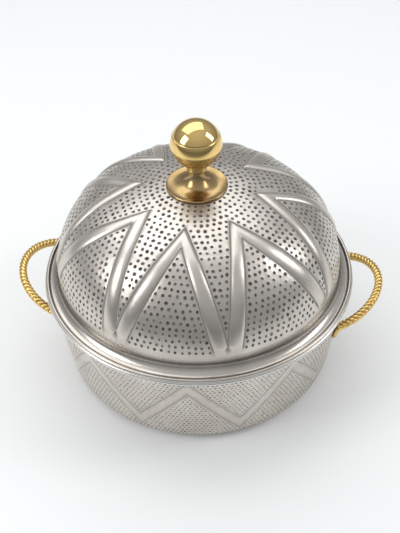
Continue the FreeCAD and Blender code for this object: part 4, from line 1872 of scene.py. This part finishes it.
@dataclass
class Knob:
    """Trumpet foot, collar, stippled cup and polished cap."""

    finishes: Finishes
    foot_radius: float = 23.5
    edge: float = 1.8
    neck: float = 4.9
    collar: float = 7.6
    ball_radius: float = 19.3
    lip_rise: float = 2.4
    crease_rise: float = 8.4
    crease_depth: float = 0.35
    cup_step: float = 0.7
    cup_neck: float = 7.6
    cup_neck_height: float = 3.6
    cap_floor: float = 4.0
    stud: float = 2.52
    grain: float = 0.42
    grain_spacing: float = 0.78

    def build(self) -> None:
        """Build the knob's four visible pieces."""
        foot_low, foot_high = box_mm("knob_foot")
        collar_low, collar_high = box_mm("knob_collar")
        cup_low, cup_high = box_mm("knob_cup")
        cap_low, cap_high = box_mm("knob_cap")
        nodes = frame["nodes"]
        self.foot(foot_low.z, foot_high.z)
        self.ring(collar_low.z, collar_high.z)
        self.cup(cup_low.z, cup_high.z + self.lip_rise, cap_high.z - self.ball_radius)
        self.cap(cap_low.z + self.lip_rise, cap_high.z)
        for name in ("knob_stud", "knob_washer", "knob_nut"):
            dress(nodes[name], self.finishes.fastener)

    def foot(self, low: float, high: float) -> None:
        """Trumpet foot with a rounded edge.

        Args:
            low: Height of its underside.
            high: Height of its top.
        """
        rise, reach = high - low - self.edge, self.foot_radius - self.neck
        flare = (rise ** 2 + reach ** 2) / (2.0 * reach)
        centre = (self.neck + flare, high)
        start = math.degrees(math.atan2(low + self.edge - high, self.foot_radius - centre[0]))
        round_edge = 0.7
        path = [(self.stud, low), (self.foot_radius - round_edge, low)]
        path += arc((self.foot_radius - round_edge, low + round_edge), round_edge, -90.0, 0.0, 4)
        path += arc((self.foot_radius - round_edge, low + self.edge - round_edge), round_edge, 0.0, 80.0, 4)
        end = start % 360.0
        path += arc(centre, flare, end - 2.0, 180.0, 28)
        path += [(self.stud, high)]
        piece = turned("knob_trumpet", path, 96)
        settle(piece, self.finishes.antique, "lid", "antique_brass", "knob_foot")

    def ring(self, low: float, high: float) -> None:
        """Collar between foot and cup.

        Args:
            low: Height of its underside.
            high: Height of its top.
        """
        half = (high - low) / 2.0
        path = [(self.stud, low)]
        path += arc((self.collar - half, low + half), half, -90.0, 90.0, 14)
        path += [(self.stud, high)]
        piece = turned("knob_ring", path, 80)
        settle(piece, self.finishes.antique, "lid", "antique_brass", "knob_collar")

    def cup(self, low: float, high: float, centre: float) -> None:
        """Stippled lower part of the ball, with its neck.

        Args:
            low: Height of the neck's underside.
            high: Height of the split.
            centre: Height of the ball's centre.
        """
        drop = centre - high
        split = math.sqrt(self.ball_radius ** 2 - drop ** 2) - self.cup_step - self.grain
        neck_top = low + self.cup_neck_height
        path = [(self.stud, low), (self.cup_neck, low), (self.cup_neck, neck_top)]
        chord_r, chord_z = split - self.cup_neck, high - neck_top
        length = math.hypot(chord_r, chord_z)
        rise = math.sqrt(self.ball_radius ** 2 - length ** 2 / 4.0)
        middle = ((split + self.cup_neck) / 2.0 - chord_z / length * rise,
                  (high + neck_top) / 2.0 + chord_r / length * rise)
        start = math.degrees(math.atan2(neck_top - middle[1], self.cup_neck - middle[0]))
        end = math.degrees(math.atan2(high - middle[1], split - middle[0]))
        surface = turned("cup_surface", arc(middle, self.ball_radius, start, end, 20), 96, closed=False)
        rough = grown("cup_grains", surface, stipple_tree(self.finishes.stippled), {
            "Grain spacing": self.grain_spacing * MM, "Grain radius": self.grain * MM, "Seed": 5})
        path += arc(middle, self.ball_radius - 0.2, start, end, 12)[1:]
        path += [(self.stud, high)]
        core = turned("cup_core", path, 96)
        piece = joined("knob_stippled_cup", [core, rough])
        settle(piece, self.finishes.stippled, "lid", "textured_brass", "knob_cup")

    def cap(self, low: float, high: float) -> None:
        """Polished upper part of the ball.

        Args:
            low: Height of the split.
            high: Height of the top.
        """
        centre = high - self.ball_radius
        drop = centre - low
        start = -math.degrees(math.asin(drop / self.ball_radius))
        crease = math.degrees(math.asin(self.crease_rise / self.ball_radius))
        gap = 1.6
        lip = self.ball_radius * math.cos(math.radians(start))
        path = [(self.stud, low), (lip - 0.9, low), (lip - 0.35, low + 0.05), (lip - 0.05, low + 0.35)]
        path += arc((0.0, centre), self.ball_radius, start + 2.0, crease - gap, 24)
        path += arc((0.0, centre), self.ball_radius - self.crease_depth, crease - 0.3, crease + 0.3, 2)
        path += arc((0.0, centre), self.ball_radius - 0.1, crease + gap, 90.0, 44)
        path[-1] = (0.0, high - 0.1)
        path += [(0.0, low + self.cap_floor), (self.stud, low + self.cap_floor)]
        piece = turned("knob_polished_cap", path, 128)
        settle(piece, self.finishes.polished, "lid", "polished_brass", "knob_cap")


@dataclass(frozen=True)
class Studio:
    """Pale floor, soft lights, and the camera at the photograph's angle."""

    azimuth: float = math.radians(6.0)
    elevation: float = math.radians(42.78)
    roll: float = math.radians(-1.23)
    distance: float = 0.7379
    aim: float = 0.0834
    focal_px: float = 900.0
    frame_height_px: float = 533.0
    sensor_mm: float = 36.0
    shift_x: float = 1.24 / 533.0
    shift_y: float = 1.22 / 533.0
    fill: float = 0.74
    horizon: float = 0.22
    zenith: float = 0.62
    backdrop: float = 0.86

    def camera(self) -> None:
        """Place the camera."""
        data = bpy.data.cameras.new("camera")
        data.sensor_fit = "AUTO"
        data.sensor_width = self.sensor_mm
        data.lens = self.focal_px * self.sensor_mm / self.frame_height_px
        data.shift_x = self.shift_x
        data.shift_y = self.shift_y
        data.clip_start = 0.01
        thing = placed("camera", data)
        back = Vector((math.sin(self.azimuth) * math.cos(self.elevation),
                       -math.cos(self.azimuth) * math.cos(self.elevation), math.sin(self.elevation)))
        right = Vector((math.cos(self.azimuth), math.sin(self.azimuth), 0.0))
        up = back.cross(right)
        across = right * math.cos(self.roll) + up * math.sin(self.roll)
        upward = -right * math.sin(self.roll) + up * math.cos(self.roll)
        matrix = Matrix((across, upward, back)).transposed().to_4x4()
        matrix.translation = Vector((0.0, 0.0, self.aim)) + back * self.distance
        thing.matrix_world = matrix
        bpy.context.scene.camera = thing

    def floor(self) -> None:
        """Pale floor that takes the shadow; towards the camera it turns near black in what the metal
        mirrors, a painted dark reflection.
        """
        half = 4.0
        mesh = bpy.data.meshes.new("floor")
        mesh.from_pydata([(-half, -half, 0), (half, -half, 0), (half, half, 0), (-half, half, 0)], [],
                         [(0, 1, 2, 3)])
        thing = placed("floor", mesh)
        graph = Graph("floor")
        place = graph.add("ShaderNodeTexCoord").outputs["Object"]
        split = graph.add("ShaderNodeSeparateXYZ", Vector=place)
        # Painted dark reflection: glossy rays see the floor dark on the camera's side, pale near the
        # object.
        far = graph.spread(split.outputs["Y"], 0.10, 1.0, -0.55, -0.2)
        mirror = graph.add("ShaderNodeLightPath").outputs["Is Glossy Ray"]
        pale = (0.83, 0.84, 0.84, 1.0)
        seen = graph.blend(far, (0.1, 0.1, 0.1, 1.0), pale)
        colour = graph.blend(mirror, pale, seen)
        shader = graph.add("ShaderNodeBsdfPrincipled", Base_Color=colour, Roughness=0.45)
        shader.inputs["Specular IOR Level"].default_value = 0.3
        dress(thing, graph.close(shader))

    def lamp(self, name: str, place: Sequence[float], aim: Sequence[float], size: Sequence[float],
             power: float) -> None:
        """Add one soft lamp.

        Args:
            name: Name of the lamp.
            place: Where it stands.
            aim: What it points at.
            size: Width and height.
            power: Strength in watts.
        """
        data = bpy.data.lights.new(name, "AREA")
        data.shape = "RECTANGLE"
        data.size, data.size_y = size
        data.energy = power
        thing = placed(name, data)
        thing.location = place
        thing.rotation_euler = (Vector(aim) - Vector(place)).to_track_quat("-Z", "Y").to_euler()

    def world(self) -> None:
        """Even light all round, with a darker room in what the metal mirrors."""
        graph = Graph("studio", world=True)
        place = graph.add("ShaderNodeTexCoord").outputs["Generated"]
        height = graph.add("ShaderNodeSeparateXYZ", Vector=place).outputs["Z"]
        room = graph.spread(height, self.horizon, self.zenith, -0.1, 0.95)
        ray = graph.add("ShaderNodeLightPath").outputs
        level = graph.blend(ray["Is Glossy Ray"], self.fill, room, "FLOAT")
        shown = graph.blend(ray["Is Camera Ray"], level, self.backdrop, "FLOAT")
        back = graph.add("ShaderNodeBackground", Color=(0.97, 0.985, 1.0, 1.0), Strength=shown)
        bpy.context.scene.world = graph.close(back)

    def build(self) -> None:
        """Set up the studio."""
        bpy.context.scene.view_settings.view_transform = "Standard"
        self.camera()
        self.floor()
        self.world()
        centre = (0.0, 0.0, 0.1)
        self.lamp("top_softbox", (-0.25, 0.5, 1.2), centre, (1.5, 1.0), 6.0)
        self.lamp("left_softbox", (-1.0, -0.5, 0.9), centre, (0.6, 0.8), 5.0)
        self.lamp("right_softbox", (1.1, 0.1, 0.9), centre, (0.4, 0.8), 3.5)


def main() -> None:
    """Build the scene piece by piece."""
    Studio().build()
    finishes = Finishes.build()
    Bowl(finishes).build()
    for side in Side:
        Handle(finishes, side).build()
    Lid(finishes).build()
    Knob(finishes).build()


if __name__ == "__main__":
    main()
